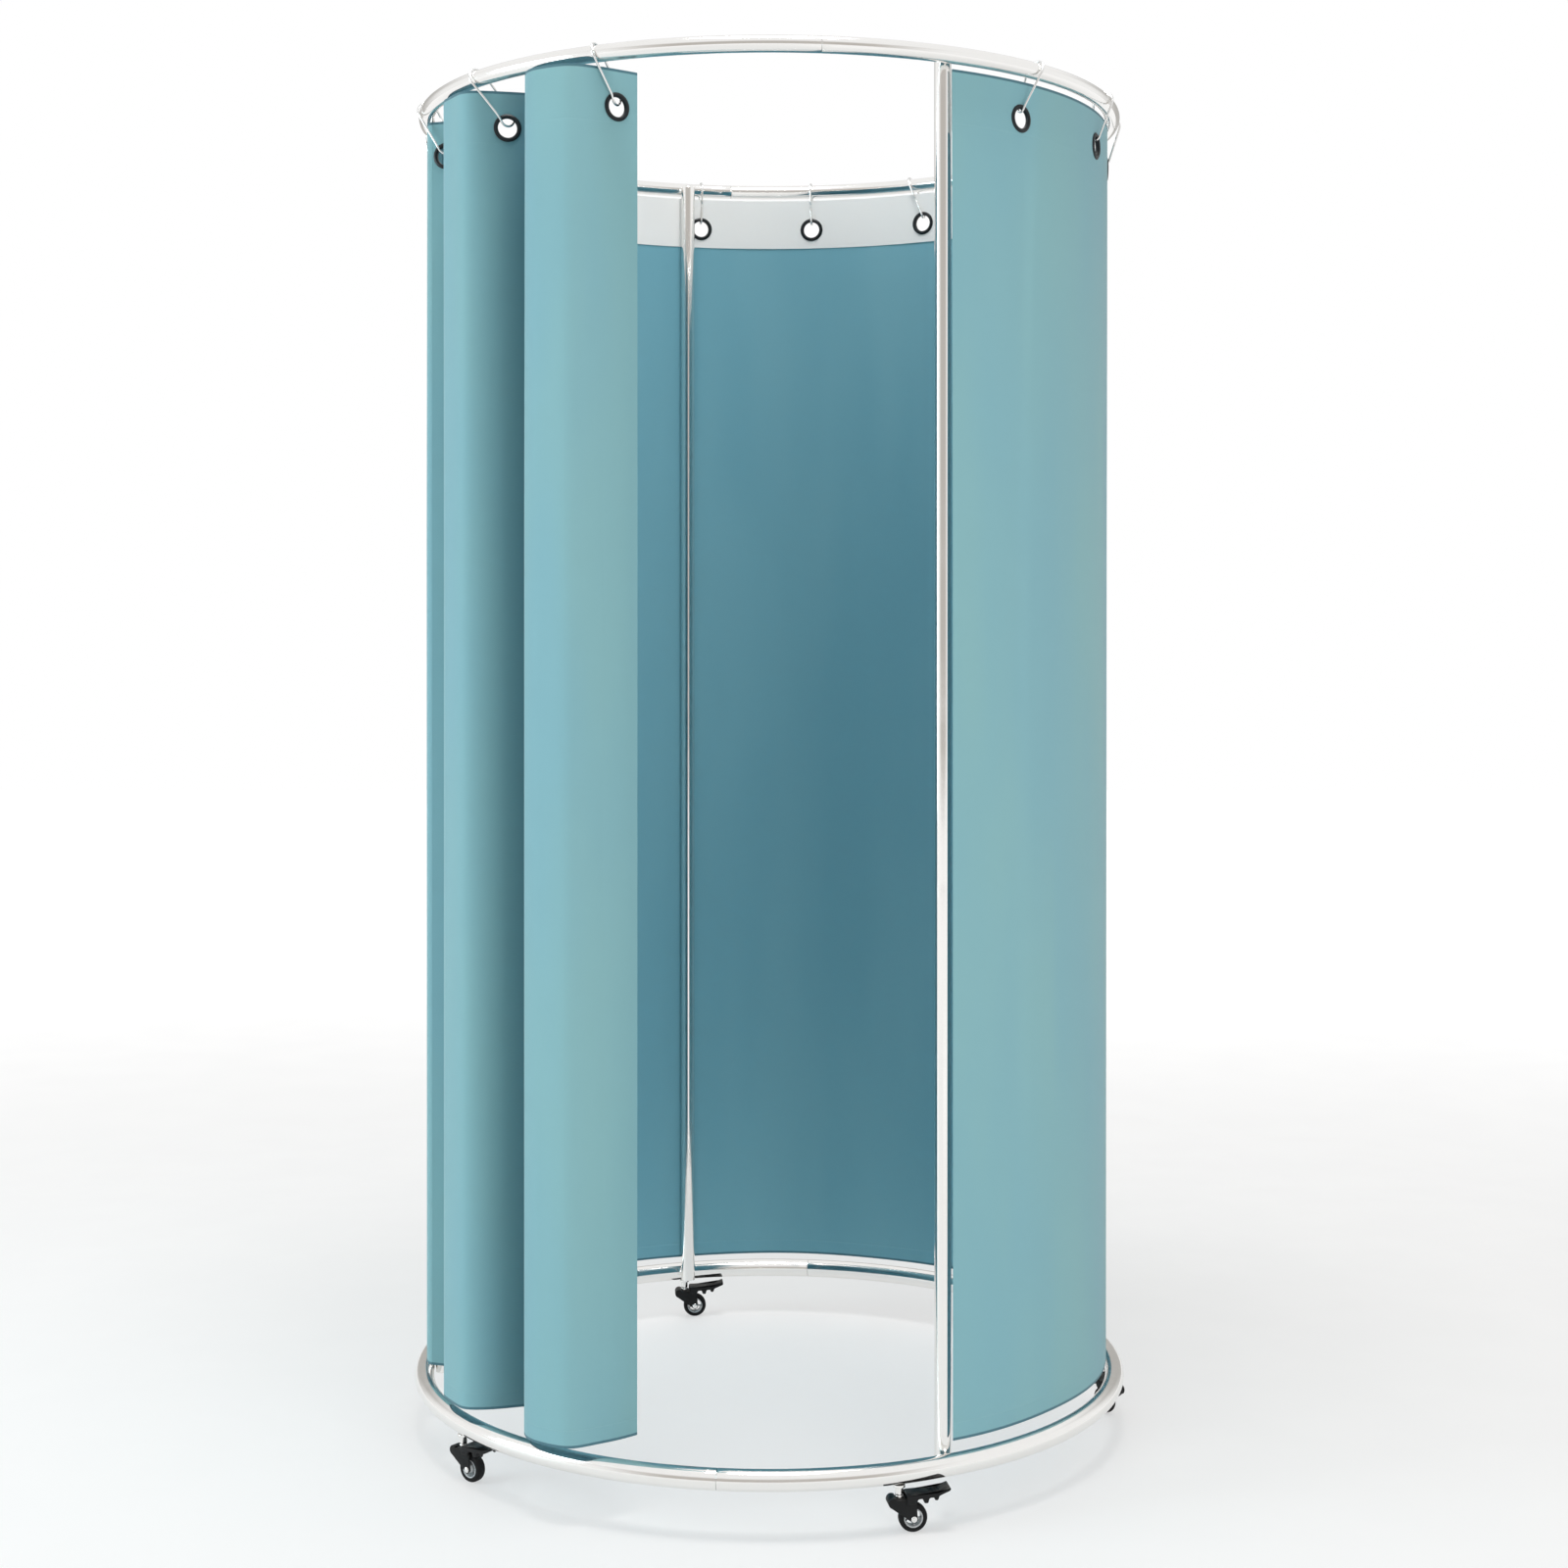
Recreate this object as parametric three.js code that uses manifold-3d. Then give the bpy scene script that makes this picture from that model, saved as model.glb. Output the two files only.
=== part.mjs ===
// A round portable fitting room: two tube rings held apart by four posts, four braked
// swivel casters under the base ring, and two curtains that hang from the top rail on
// wire hooks through eyelets. Millimetres, +Z up, origin on the floor on the rings' axis.
// Angles are in degrees, anticlockwise from +X seen from above. The doorway faces -Y.
import * as THREE from "three";
import { mergeVertices } from "three/addons/utils/BufferGeometryUtils.js";
import Module from "manifold-3d";

const wasm = await Module();
wasm.setup();

// Clearances
const SEAT_GAP = 0.3;
const HOOK_SEAT = 0.7;
const EYELET_LIFT = 0.8;
const CUT_OVERRUN = 2;

// Rings and posts
const RAIL_RADIUS = 500;
const RAIL_TUBE = 22;
const RAIL_WALL = 1.4;
const RAIL_HEIGHT = 1886;
const BASE_TUBE = 28;
const BASE_WALL = 1.6;
const SLEEVE_WALL = 1.5;
const POST_TUBE = 22;
const POST_WALL = 1.4;
const POST_TOP_RISE = 2;
const POST_FOOT_DROP = 8;
const POST_CAP = 3;
const POSTS = { front_right: -61.9, back_right: 21, back_left: 106.5, front_left: 184 };
const RING_STEPS = 48;
const TUBE_SIDES = 12;
const BORE_SIDES = 8;
const BASE_SEAM_STEP = -1;
const RAIL_SEAM_STEP = 1;
const SLEEVE_STEPS = 2;

// Cloth
const CLOTH = 2;
const CLOTH_DROP = 16;
const HEM_GAP = 13;
const MAIN_INSET = 7;
const MAIN_EDGES = [-61.4, 172.5];
const MAIN_STEPS = 52;
const HEADER = 1.2;
const HEADER_DEPTH = 80;

// Eyelets and hooks
const EYELET_DROP = 49;
const EYELET_BORE = 26;
const EYELET_RIM = 39;
const EYELET_BARREL_WALL = 1.2;
const EYELET_FLANGE = 1.2;
const EYELET_SIDES = 12;
const HOOK_WIRE = 3;
const HOOK_SIDES = 6;
const HOOK_MOUTH = 4;
const CROWN_STEPS = 8;
const FOOT_STEPS = 6;
const MAIN_HOOKS = [-47.7, -22.7, -3, 16.5, 38, 58.9, 81.7, 103.5, 125, 146, 166];
const MAIN_HOOK_LEANS = [2.3, 1.4, 0.8, -1.1, 1.5, 2.6, 0.2, -0.2, -1.2, 0.9, -0.9];

// Door curtain: where its hooks ride, how far outside the rail's circle each eyelet and
// the crest after it stand, and how steeply the cloth falls at an eyelet.
const DOOR_TAIL_EDGE = -190;
const DOOR_HOOKS = [-184, -165, -139, -114.5];
const DOOR_EYELET_OUTSETS = [-1, -25, -34, -25];
const DOOR_CREST_OUTSETS = [-3, 13, 35];
const DOOR_SLOPE = 60;
const DOOR_FLAT = 22;
const DOOR_CUT = 21;
const DOOR_LEAD = 11;
const CREST_PLACE_SHARE = 0.64;
const TROUGH_PULL_SHARE = 0.56;
const CREST_PULL_SHARE = 0.5;
const FALL_PULL_SHARE = 0.66;
const FIRST_FALL_SHARE = 0.2;
const TAIL_STEPS = 3;
const RISE_STEPS = 8;
const FALL_STEPS = 6;

// Casters
const CASTERS = {
  front_right: { angle: -70.8, heading: 8 },
  right: { angle: -3, heading: 120 },
  back_left: { angle: 106.5, heading: 4 },
  front_left: { angle: -145.5, heading: -38 },
};
const WHEEL = 37;
const WHEEL_TREAD = 15;
const WHEEL_CORNER = 2.5;
const WHEEL_RIM = 25;
const WHEEL_WEB = 5;
const WHEEL_HUB = 10;
const WHEEL_WINDOWS = 4;
const WHEEL_WINDOW = 5;
const WHEEL_SIDES = 24;
const WHEEL_SIDE_GAP = 1;
const WHEEL_ARCH_GAP = 1.5;
const TRAIL = 17.5;
const AXLE = 5;
const AXLE_HEAD = 8;
const AXLE_HEAD_DEPTH = 1.5;
const FORK_CHEEK = 2.5;
const FORK_TOP = 43;
const FORK_NOSE = 13.6;
const NOSE_REACH = 8.6;
const NOSE_HEIGHT = 39.2;
const FORK_BACK = 21;
const FORK_BACK_HEIGHT = 38.8;
const LUG = 10;
const NOSE_ARC = [60, 250];
const LUG_ARC = [215, 385];
const STEM = 11;
const STEM_PIN = 8;
const STEM_PIN_DEPTH = 7;
const STEM_LENGTH = 17.7;
const STEM_FLANGE = 16;
const STEM_FLANGE_DEPTH = 3.5;
const PEDAL_LENGTH = 53;
const PEDAL_RISE = 57;
const PEDAL_CHEEK = 1.4;
const PEDAL_SIDE_GAP = 0.6;
const PEDAL_ROOF = 46.2;
const PIVOT_REACH = 12;
const PIVOT_HEIGHT = 41;
const PIVOT = 4.6;
const ROUND_SIDES = 12;

const FULL_TURN = 360;
const HALF_TURN = 180;
const QUARTER_TURN = 90;
const DEG = Math.PI / HALF_TURN;
const railRadius = RAIL_TUBE / 2;
const baseTubeRadius = BASE_TUBE / 2;
const postRadius = POST_TUBE / 2;
const chordShare = Math.cos(Math.PI / RING_STEPS);
const postInset = railRadius + SEAT_GAP + postRadius;
const postCircle = RAIL_RADIUS * chordShare - postInset;
const baseRadius = (postCircle + postRadius + SEAT_GAP + baseTubeRadius) / chordShare;
const stemTop = FORK_TOP + STEM_LENGTH;
const baseHeight = stemTop + SEAT_GAP + baseTubeRadius;
const hemHeight = baseHeight + baseTubeRadius + HEM_GAP;
const clothTop = RAIL_HEIGHT - CLOTH_DROP;
const mainRadius = RAIL_RADIUS - MAIN_INSET;
const doorEyeletRadii = DOOR_EYELET_OUTSETS.map((outset) => RAIL_RADIUS + outset);
const boreRadius = EYELET_BORE / 2;
const boreInside = boreRadius * Math.cos(Math.PI / EYELET_SIDES);
const barrelRadius = boreRadius + EYELET_BARREL_WALL;
const clothHoleRadius = barrelRadius + SEAT_GAP;
const eyeletGrip = CLOTH / 2 + EYELET_LIFT;
const eyeletHalf = eyeletGrip + EYELET_FLANGE;

const FINISHES = {
  chrome: { color: 0xdfe3e4, roughness: 0.15, metalness: 1 },
  teal: { color: 0x82b0b6, roughness: 0.85, metalness: 0 },
  header: { color: 0xdddedc, roughness: 0.8, metalness: 0 },
  eyelet: { color: 0x14181a, roughness: 0.4, metalness: 0 },
  plastic: { color: 0x101112, roughness: 0.5, metalness: 0 },
  rubber: { color: 0x1a1b1c, roughness: 0.7, metalness: 0 },
};

const room = new THREE.Group();

function addPiece(parent, name, geometry, finish) {
  const mesh = new THREE.Mesh(geometry, new THREE.MeshStandardMaterial(FINISHES[finish]));
  mesh.name = name;
  parent.add(mesh);
  return mesh;
}

// Solids and booleans

function solidOf(geometry) {
  const bare = geometry.clone();
  bare.deleteAttribute("normal");
  bare.deleteAttribute("uv");
  const merged = mergeVertices(bare);
  return new wasm.Manifold(
    new wasm.Mesh({
      numProp: 3,
      vertProperties: merged.attributes.position.array,
      triVerts: new Uint32Array(merged.index.array),
    }),
  );
}

function geometryOf(solid) {
  const mesh = solid.getMesh();
  return new THREE.BufferGeometry()
    .setAttribute("position", new THREE.BufferAttribute(mesh.vertProperties, mesh.numProp))
    .setIndex(new THREE.BufferAttribute(mesh.triVerts, 1));
}

// A turned piece about the Z axis. The profile holds [radius, height] corners, with the
// outer side going up.
function turned(profile, sides) {
  const points = profile.map(([radius, height]) => new THREE.Vector2(radius, height));
  points.push(points[0].clone());
  return new THREE.LatheGeometry(points, sides).rotateX(Math.PI / 2);
}

// A solid rod about the Z axis between two heights.
function rod(diameter, bottom, top, sides = ROUND_SIDES) {
  return new THREE.CylinderGeometry(diameter / 2, diameter / 2, top - bottom, sides)
    .rotateX(Math.PI / 2)
    .translate(0, 0, (top + bottom) / 2);
}

// A side outline drawn in X and Z, given a width across Y.
function slab(shape, width) {
  return new THREE.ExtrudeGeometry(shape, { depth: width, bevelEnabled: false, curveSegments: 6 })
    .rotateX(Math.PI / 2)
    .translate(0, width / 2, 0);
}

function polar(radius, degrees, height) {
  const angle = degrees * DEG;
  return new THREE.Vector3(radius * Math.cos(angle), radius * Math.sin(angle), height);
}

// Rings

// A level arc, sampled at even angles.
class LevelArc extends THREE.Curve {
  constructor(radius, height, startAngle, endAngle) {
    super();
    Object.assign(this, { radius, height, startAngle, endAngle });
  }

  getPoint(t) {
    const degrees = this.startAngle + (this.endAngle - this.startAngle) * t;
    return polar(this.radius, degrees, this.height);
  }

  getUtoTmapping(u) {
    return u;
  }
}

function roundOutline(radius, sides, Outline = THREE.Shape) {
  const corners = Array.from({ length: sides }, (_, i) => {
    const angle = (i / sides) * 2 * Math.PI;
    return new THREE.Vector2(radius * Math.cos(angle), radius * Math.sin(angle));
  });
  return new Outline(corners);
}

// A bent tube: the bore has fewer sides than the outside.
function bentTube(arc, steps, outerRadius, outerSides, boreRadiusOfTube) {
  const section = roundOutline(outerRadius, outerSides);
  section.holes.push(roundOutline(boreRadiusOfTube, BORE_SIDES, THREE.Path));
  return new THREE.ExtrudeGeometry(section, { steps, bevelEnabled: false, extrudePath: arc });
}

// Each ring is two half hoops with a sleeve inside each of the two seams.
function addRing(name, radius, height, tube, wall, seamStep) {
  const stepAngle = FULL_TURN / RING_STEPS;
  const seam = seamStep * stepAngle - QUARTER_TURN;
  const trim = SEAT_GAP / 2 / radius / DEG;
  const bore = tube / 2 - wall;
  [["right", 0], ["left", 1]].forEach(([side, half]) => {
    const start = seam + half * HALF_TURN;
    const arc = new LevelArc(radius, height, start + trim, start + HALF_TURN - trim);
    addPiece(room, `${name}_${side}`,
      bentTube(arc, RING_STEPS / 2, tube / 2, TUBE_SIDES, bore), "chrome");
  });
  [["front", 0], ["back", 1]].forEach(([side, half]) => {
    const middle = seam + half * HALF_TURN;
    const reach = (SLEEVE_STEPS / 2) * stepAngle;
    const arc = new LevelArc(radius, height, middle - reach, middle + reach);
    const sleeve = bore - SEAT_GAP;
    addPiece(room, `${name}_sleeve_${side}`,
      bentTube(arc, SLEEVE_STEPS, sleeve, BORE_SIDES, sleeve - SLEEVE_WALL), "chrome");
  });
}

// The rings are polygons with corners at whole steps: the share of a ring's radius at
// which its chord lies at an angle.
function ringShareAt(degrees) {
  const stepAngle = FULL_TURN / RING_STEPS;
  const pastCorner = ((degrees % stepAngle) + stepAngle) % stepAngle;
  return chordShare / Math.cos((pastCorner - stepAngle / 2) * DEG);
}

// Posts stand inside both rings. The top is closed and the foot is open.
function addPosts() {
  const foot = baseHeight - POST_FOOT_DROP;
  const top = RAIL_HEIGHT + POST_TOP_RISE;
  const bore = postRadius - POST_WALL;
  for (const [place, angle] of Object.entries(POSTS)) {
    const post = turned(
      [[bore, foot], [postRadius, foot], [postRadius, top - POST_WALL],
        [postRadius - POST_WALL, top], [0, top], [0, top - POST_CAP], [bore, top - POST_CAP]],
      TUBE_SIDES,
    );
    const mesh = addPiece(room, `post_${place}`, post, "chrome");
    mesh.position.copy(polar(RAIL_RADIUS * ringShareAt(angle) - postInset, angle, 0));
    mesh.rotation.z = (angle + QUARTER_TURN) * DEG;
  }
}

// Cloth

// A standing sheet along a run of [angle, radius] stations. The two faces lie at the given
// distances outside the run, and heights are functions of the angle.
function standingSheet(run, innerFace, outerFace, bottom, top) {
  const middle = run.map(([angle, radius]) => polar(radius, angle, 0));
  const corners = [];
  run.forEach((station, i) => {
    const ahead = middle[Math.min(i + 1, middle.length - 1)];
    const behind = middle[Math.max(i - 1, 0)];
    const along = ahead.clone().sub(behind).normalize();
    const outward = new THREE.Vector3(along.y, -along.x, 0);
    for (const [face, height] of [[innerFace, bottom], [outerFace, bottom],
      [outerFace, top], [innerFace, top]]) {
      const corner = middle[i].clone().addScaledVector(outward, face);
      corners.push(corner.x, corner.y, height);
    }
  });
  const faces = [];
  const addQuad = (a, b, c, d) => faces.push(a, b, c, a, c, d);
  for (let i = 0; i + 1 < run.length; i++) {
    for (let k = 0; k < 4; k++) {
      const next = (k + 1) % 4;
      addQuad(4 * i + k, 4 * (i + 1) + k, 4 * (i + 1) + next, 4 * i + next);
    }
  }
  const last = 4 * (run.length - 1);
  addQuad(0, 1, 2, 3);
  addQuad(last + 3, last + 2, last + 1, last);
  return new THREE.BufferGeometry()
    .setAttribute("position", new THREE.Float32BufferAttribute(corners, 3))
    .setIndex(faces);
}

// Moves a solid that is built about +Z to lie along a level direction at a point.
function laidAlong(geometry, point, direction) {
  const turn = new THREE.Quaternion().setFromUnitVectors(new THREE.Vector3(0, 0, 1), direction);
  const upright = new THREE.Vector3(0, 1, 0).applyQuaternion(turn);
  const level = new THREE.Vector3(0, 0, 1);
  const roll = new THREE.Quaternion().setFromUnitVectors(upright, level);
  return geometry.applyQuaternion(roll.multiply(turn)).translate(point.x, point.y, point.z);
}

// An eyelet: a barrel through the cloth with a flange on each side of it.
function eyeletAt(point, direction) {
  const rim = EYELET_RIM / 2;
  const ring = turned(
    [[boreRadius, -eyeletHalf], [rim, -eyeletHalf], [rim, -eyeletGrip], [barrelRadius, -eyeletGrip],
      [barrelRadius, eyeletGrip], [rim, eyeletGrip], [rim, eyeletHalf], [boreRadius, eyeletHalf]],
    EYELET_SIDES,
  );
  return laidAlong(ring, point, direction);
}

// A cutter through everything at an eyelet.
function cutterAt(radius, point, direction) {
  const reach = eyeletHalf + CUT_OVERRUN;
  return laidAlong(rod(2 * radius, -reach, reach, EYELET_SIDES), point, direction);
}

function mainRun() {
  const [from, to] = MAIN_EDGES;
  return Array.from({ length: MAIN_STEPS + 1 }, (_, i) => [
    from + ((to - from) * i) / MAIN_STEPS,
    mainRadius,
  ]);
}

// The main curtain goes round the sides and back. Its header tape lines the top inside,
// and the row of eyelets is clinched into the tape.
function addMainCurtain() {
  const run = mainRun();
  const headerFoot = clothTop - HEADER_DEPTH;
  const tapeOuter = -CLOTH / 2 - SEAT_GAP;
  let cloth = solidOf(standingSheet(run, -CLOTH / 2, CLOTH / 2, hemHeight, clothTop));
  let tape = solidOf(standingSheet(run, tapeOuter - HEADER, tapeOuter, headerFoot, clothTop));
  MAIN_HOOK_LEANS.forEach((lean, i) => {
    const angle = MAIN_HOOKS[i];
    const point = polar(mainRadius * chordShareOf(run), angle, clothTop - EYELET_DROP);
    const outward = polar(1, angle, 0);
    cloth = cloth.subtract(solidOf(cutterAt(clothHoleRadius, point, outward)));
    tape = tape
      .subtract(solidOf(cutterAt(clothHoleRadius, point, outward)))
      .add(solidOf(eyeletAt(point, outward)));
    addHook(room, `main_hook_${i + 1}`, angle, mainRadius, lean, 0);
  });
  addPiece(room, "curtain_main", geometryOf(cloth), "teal");
  addPiece(room, "curtain_main_header_with_eyelets", geometryOf(tape), "header");
}

// How far in the middle of a chord lies, between two stations of an even run.
function chordShareOf(run) {
  const stepAngle = run[1][0] - run[0][0];
  return (1 + Math.cos((stepAngle / 2) * DEG)) / 2;
}

// Hooks

// The wire's path: over the rail, down both sides of the cloth and through the eyelet,
// with a small mouth in the inner leg. It is a belt round two circles, the crown on the
// rail and the foot in the eyelet, and leans along the rail towards its top.
class HookPath extends THREE.Curve {
  constructor(angle, radius, lean, slope) {
    super();
    const wire = HOOK_WIRE / 2;
    const [level, steep] = [Math.cos(slope * DEG), Math.sin(slope * DEG)];
    const crownTop = railRadius + wire + HOOK_SEAT;
    const crown = (crownTop + RAIL_RADIUS * (1 - chordShare)) / Math.cos(Math.PI / 2 / CROWN_STEPS);
    const bite = (eyeletHalf + wire * steep) / level;
    const foot = (bite + wire + HOOK_SEAT / level) / Math.cos(Math.PI / 2 / FOOT_STEPS);
    const biteRise = Math.sqrt(foot ** 2 - bite ** 2);
    const boreTop = Math.sqrt(boreInside ** 2 - (bite * steep + wire * level) ** 2);
    const eyelet = clothTop - EYELET_DROP - RAIL_HEIGHT;
    const footCentre = [
      radius - RAIL_RADIUS,
      eyelet + boreTop + biteRise - (wire * foot) / biteRise - HOOK_SEAT,
    ];
    const crownCentre = [0, crownTop - crown];
    const down = Math.atan2(footCentre[1] - crownCentre[1], footCentre[0]);
    const apart = Math.hypot(footCentre[0], footCentre[1] - crownCentre[1]);
    const wrap = Math.acos((crown - foot) / apart);
    const around = (centre, size, turn) => [
      centre[0] + size * Math.cos(turn),
      centre[1] + size * Math.sin(turn),
    ];
    const legTop = around(crownCentre, crown, down - wrap);
    const legFoot = around(footCentre, foot, down - wrap);
    const legLength = Math.hypot(legTop[0] - legFoot[0], legTop[1] - legFoot[1]);
    const alongLeg = (distance) => {
      const share = 0.5 + distance / legLength;
      return legTop.map((value, k) => value + (legFoot[k] - value) * share);
    };
    const stations = [alongLeg(-HOOK_MOUTH / 2)];
    for (let i = 0; i <= CROWN_STEPS; i++) {
      const turn = down - wrap + 2 * Math.PI;
      const share = i / CROWN_STEPS;
      stations.push(around(crownCentre, crown, turn + (down + wrap - turn) * share));
    }
    for (let i = 0; i <= FOOT_STEPS; i++) {
      stations.push(around(footCentre, foot, down + wrap - (2 * wrap * i) / FOOT_STEPS));
    }
    stations.push(alongLeg(HOOK_MOUTH / 2));
    this.places = stations.map(([out, height]) => {
      const leanShare = Math.max(0, (height - footCentre[1]) / (crownCentre[1] - footCentre[1]));
      return polar(RAIL_RADIUS + out, angle + lean * leanShare, RAIL_HEIGHT + height);
    });
  }

  getPoint(t) {
    const along = t * (this.places.length - 1);
    const i = Math.min(Math.floor(along), this.places.length - 2);
    return this.places[i].clone().lerp(this.places[i + 1], along - i);
  }

  getTangent(t) {
    const i = Math.round(t * (this.places.length - 1));
    const behind = this.places[Math.max(i - 1, 0)];
    const ahead = this.places[Math.min(i + 1, this.places.length - 1)];
    return ahead.clone().sub(behind).normalize();
  }

  getUtoTmapping(u) {
    return u;
  }
}

function addHook(parent, name, angle, radius, lean, slope) {
  const path = new HookPath(angle, radius, lean, slope);
  const wire = roundOutline(HOOK_WIRE / 2, HOOK_SIDES);
  const steps = path.places.length - 1;
  addPiece(parent, name,
    new THREE.ExtrudeGeometry(wire, { steps, bevelEnabled: false, extrudePath: path }), "chrome");
}

// Door curtain

// The door cloth is drawn on an unrolled plane: X is the distance along the rail and Y is
// the distance from the axis. Each stretch starts at the flat by its own eyelet.
const railArc = (degrees) => degrees * DEG * RAIL_RADIUS;
const rolled = (point) => [point.x / RAIL_RADIUS / DEG, point.y];

function doorSlopeAt(index) {
  return index === 0 ? 0 : DOOR_SLOPE * DEG;
}

function flatPoint(index, along) {
  const slope = doorSlopeAt(index);
  return new THREE.Vector2(
    railArc(DOOR_HOOKS[index]) + along * Math.cos(slope),
    doorEyeletRadii[index] - along * Math.sin(slope),
  );
}

// From the inner end of one flat, through the trough, over the crest, to where the
// stretch is cut on the next flat.
function pleatRun(index) {
  const trough = flatPoint(index, DOOR_FLAT);
  const fall = flatPoint(index + 1, -DOOR_FLAT);
  const crestAt = trough.x + (fall.x - trough.x) * CREST_PLACE_SHARE;
  const crest = new THREE.Vector2(crestAt, RAIL_RADIUS + DOOR_CREST_OUTSETS[index]);
  const rise = crest.x - trough.x;
  const drop = fall.x - crest.x;
  const [risePull, fallPull] = index === 0
    ? [CREST_PULL_SHARE, FIRST_FALL_SHARE]
    : [TROUGH_PULL_SHARE, FALL_PULL_SHARE];
  const up = new THREE.CubicBezierCurve(
    trough,
    flatPoint(index, DOOR_FLAT + rise * risePull),
    new THREE.Vector2(crest.x - rise * CREST_PULL_SHARE, crest.y),
    crest,
  );
  const down = new THREE.CubicBezierCurve(
    crest,
    new THREE.Vector2(crest.x + drop * fallPull, crest.y),
    flatPoint(index + 1, -DOOR_FLAT - drop * fallPull),
    fall,
  );
  return [
    ...up.getPoints(RISE_STEPS),
    ...down.getPoints(FALL_STEPS).slice(1),
    flatPoint(index + 1, -DOOR_CUT),
  ];
}

// The stretches of the door cloth, as stations of angle and radius: the tail by the left
// post, then one per sliding hook. Neighbours leave a seat gap between them on each flat.
function doorStretches() {
  const tailStart = new THREE.Vector2(railArc(DOOR_TAIL_EDGE), doorEyeletRadii[0]);
  return DOOR_HOOKS.map((_, index) => {
    const start = index === 0 ? tailStart : flatPoint(index, SEAT_GAP - DOOR_CUT);
    const flat = [start];
    for (let i = 1; i < TAIL_STEPS; i++) {
      flat.push(start.clone().lerp(flatPoint(index, DOOR_FLAT), i / TAIL_STEPS));
    }
    const last = index === DOOR_HOOKS.length - 1;
    const rest = last ? [flatPoint(index, DOOR_FLAT + DOOR_LEAD)] : pleatRun(index);
    return [...flat, ...rest].map(rolled);
  });
}

function addDoorCurtain() {
  const names = ["curtain_door_tail", "curtain_door_pleat_1", "curtain_door_pleat_2",
    "curtain_door_lead"];
  doorStretches().forEach((run, index) => {
    const angle = DOOR_HOOKS[index];
    const radius = doorEyeletRadii[index];
    const before = polar(rolled(flatPoint(index, -DOOR_FLAT))[1],
      rolled(flatPoint(index, -DOOR_FLAT))[0], 0);
    const after = polar(rolled(flatPoint(index, DOOR_FLAT))[1],
      rolled(flatPoint(index, DOOR_FLAT))[0], 0);
    const along = after.sub(before).normalize();
    const outward = new THREE.Vector3(along.y, -along.x, 0);
    const point = polar(radius, angle, clothTop - EYELET_DROP);
    const cloth = solidOf(standingSheet(run, -CLOTH / 2, CLOTH / 2, hemHeight, clothTop))
      .subtract(solidOf(cutterAt(clothHoleRadius, point, outward)));
    const slope = doorSlopeAt(index) / DEG;
    const lean = slope === 0 ? 0 : -(RAIL_RADIUS - radius) / Math.tan(slope * DEG) / RAIL_RADIUS / DEG;
    addPiece(room, names[index], geometryOf(cloth), "teal");
    addPiece(room, `door_eyelet_${index + 1}`, eyeletAt(point, outward), "eyelet");
    addHook(room, `door_hook_${index + 1}`, angle, radius, lean, slope);
  });
}

// Casters, each drawn with its stem on the Z axis and its wheel trailing towards +X

const axleHeight = (WHEEL / 2) * Math.cos(Math.PI / WHEEL_SIDES);
const treadHalf = WHEEL_TREAD / 2;
const forkWidth = WHEEL_TREAD + 2 * (WHEEL_SIDE_GAP + FORK_CHEEK);
const pedalGapWidth = forkWidth + 2 * PEDAL_SIDE_GAP;
const pedalWidth = pedalGapWidth + 2 * PEDAL_CHEEK;

// A piece turned about the axle, which lies along Y.
function aboutAxle(geometry, reach, height) {
  return geometry.rotateX(-Math.PI / 2).translate(reach, 0, height);
}

// The wheel: a rounded tyre, a thin web with round windows, and a hub on the axle.
function wheelSolid() {
  const bore = AXLE / 2 + SEAT_GAP;
  const outer = WHEEL / 2;
  const rim = WHEEL_RIM / 2;
  const hub = WHEEL_HUB / 2;
  const web = WHEEL_WEB / 2;
  const profile = [[bore, -treadHalf], [hub, -treadHalf], [hub, -web], [rim, -web],
    [rim, -treadHalf], [outer - WHEEL_CORNER, -treadHalf], [outer, -treadHalf + WHEEL_CORNER],
    [outer, treadHalf - WHEEL_CORNER], [outer - WHEEL_CORNER, treadHalf], [rim, treadHalf],
    [rim, web], [hub, web], [hub, treadHalf], [bore, treadHalf]];
  let wheel = solidOf(turned(profile, WHEEL_SIDES));
  for (let i = 0; i < WHEEL_WINDOWS; i++) {
    const window = rod(WHEEL_WINDOW, -web - CUT_OVERRUN / 2, web + CUT_OVERRUN / 2, BORE_SIDES);
    const place = polar((rim + hub) / 2, (FULL_TURN * (i + 0.5)) / WHEEL_WINDOWS, 0);
    wheel = wheel.subtract(solidOf(window.translate(place.x, place.y, 0)));
  }
  return aboutAxle(geometryOf(wheel).rotateZ(Math.PI / WHEEL_SIDES), TRAIL, axleHeight);
}

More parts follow.
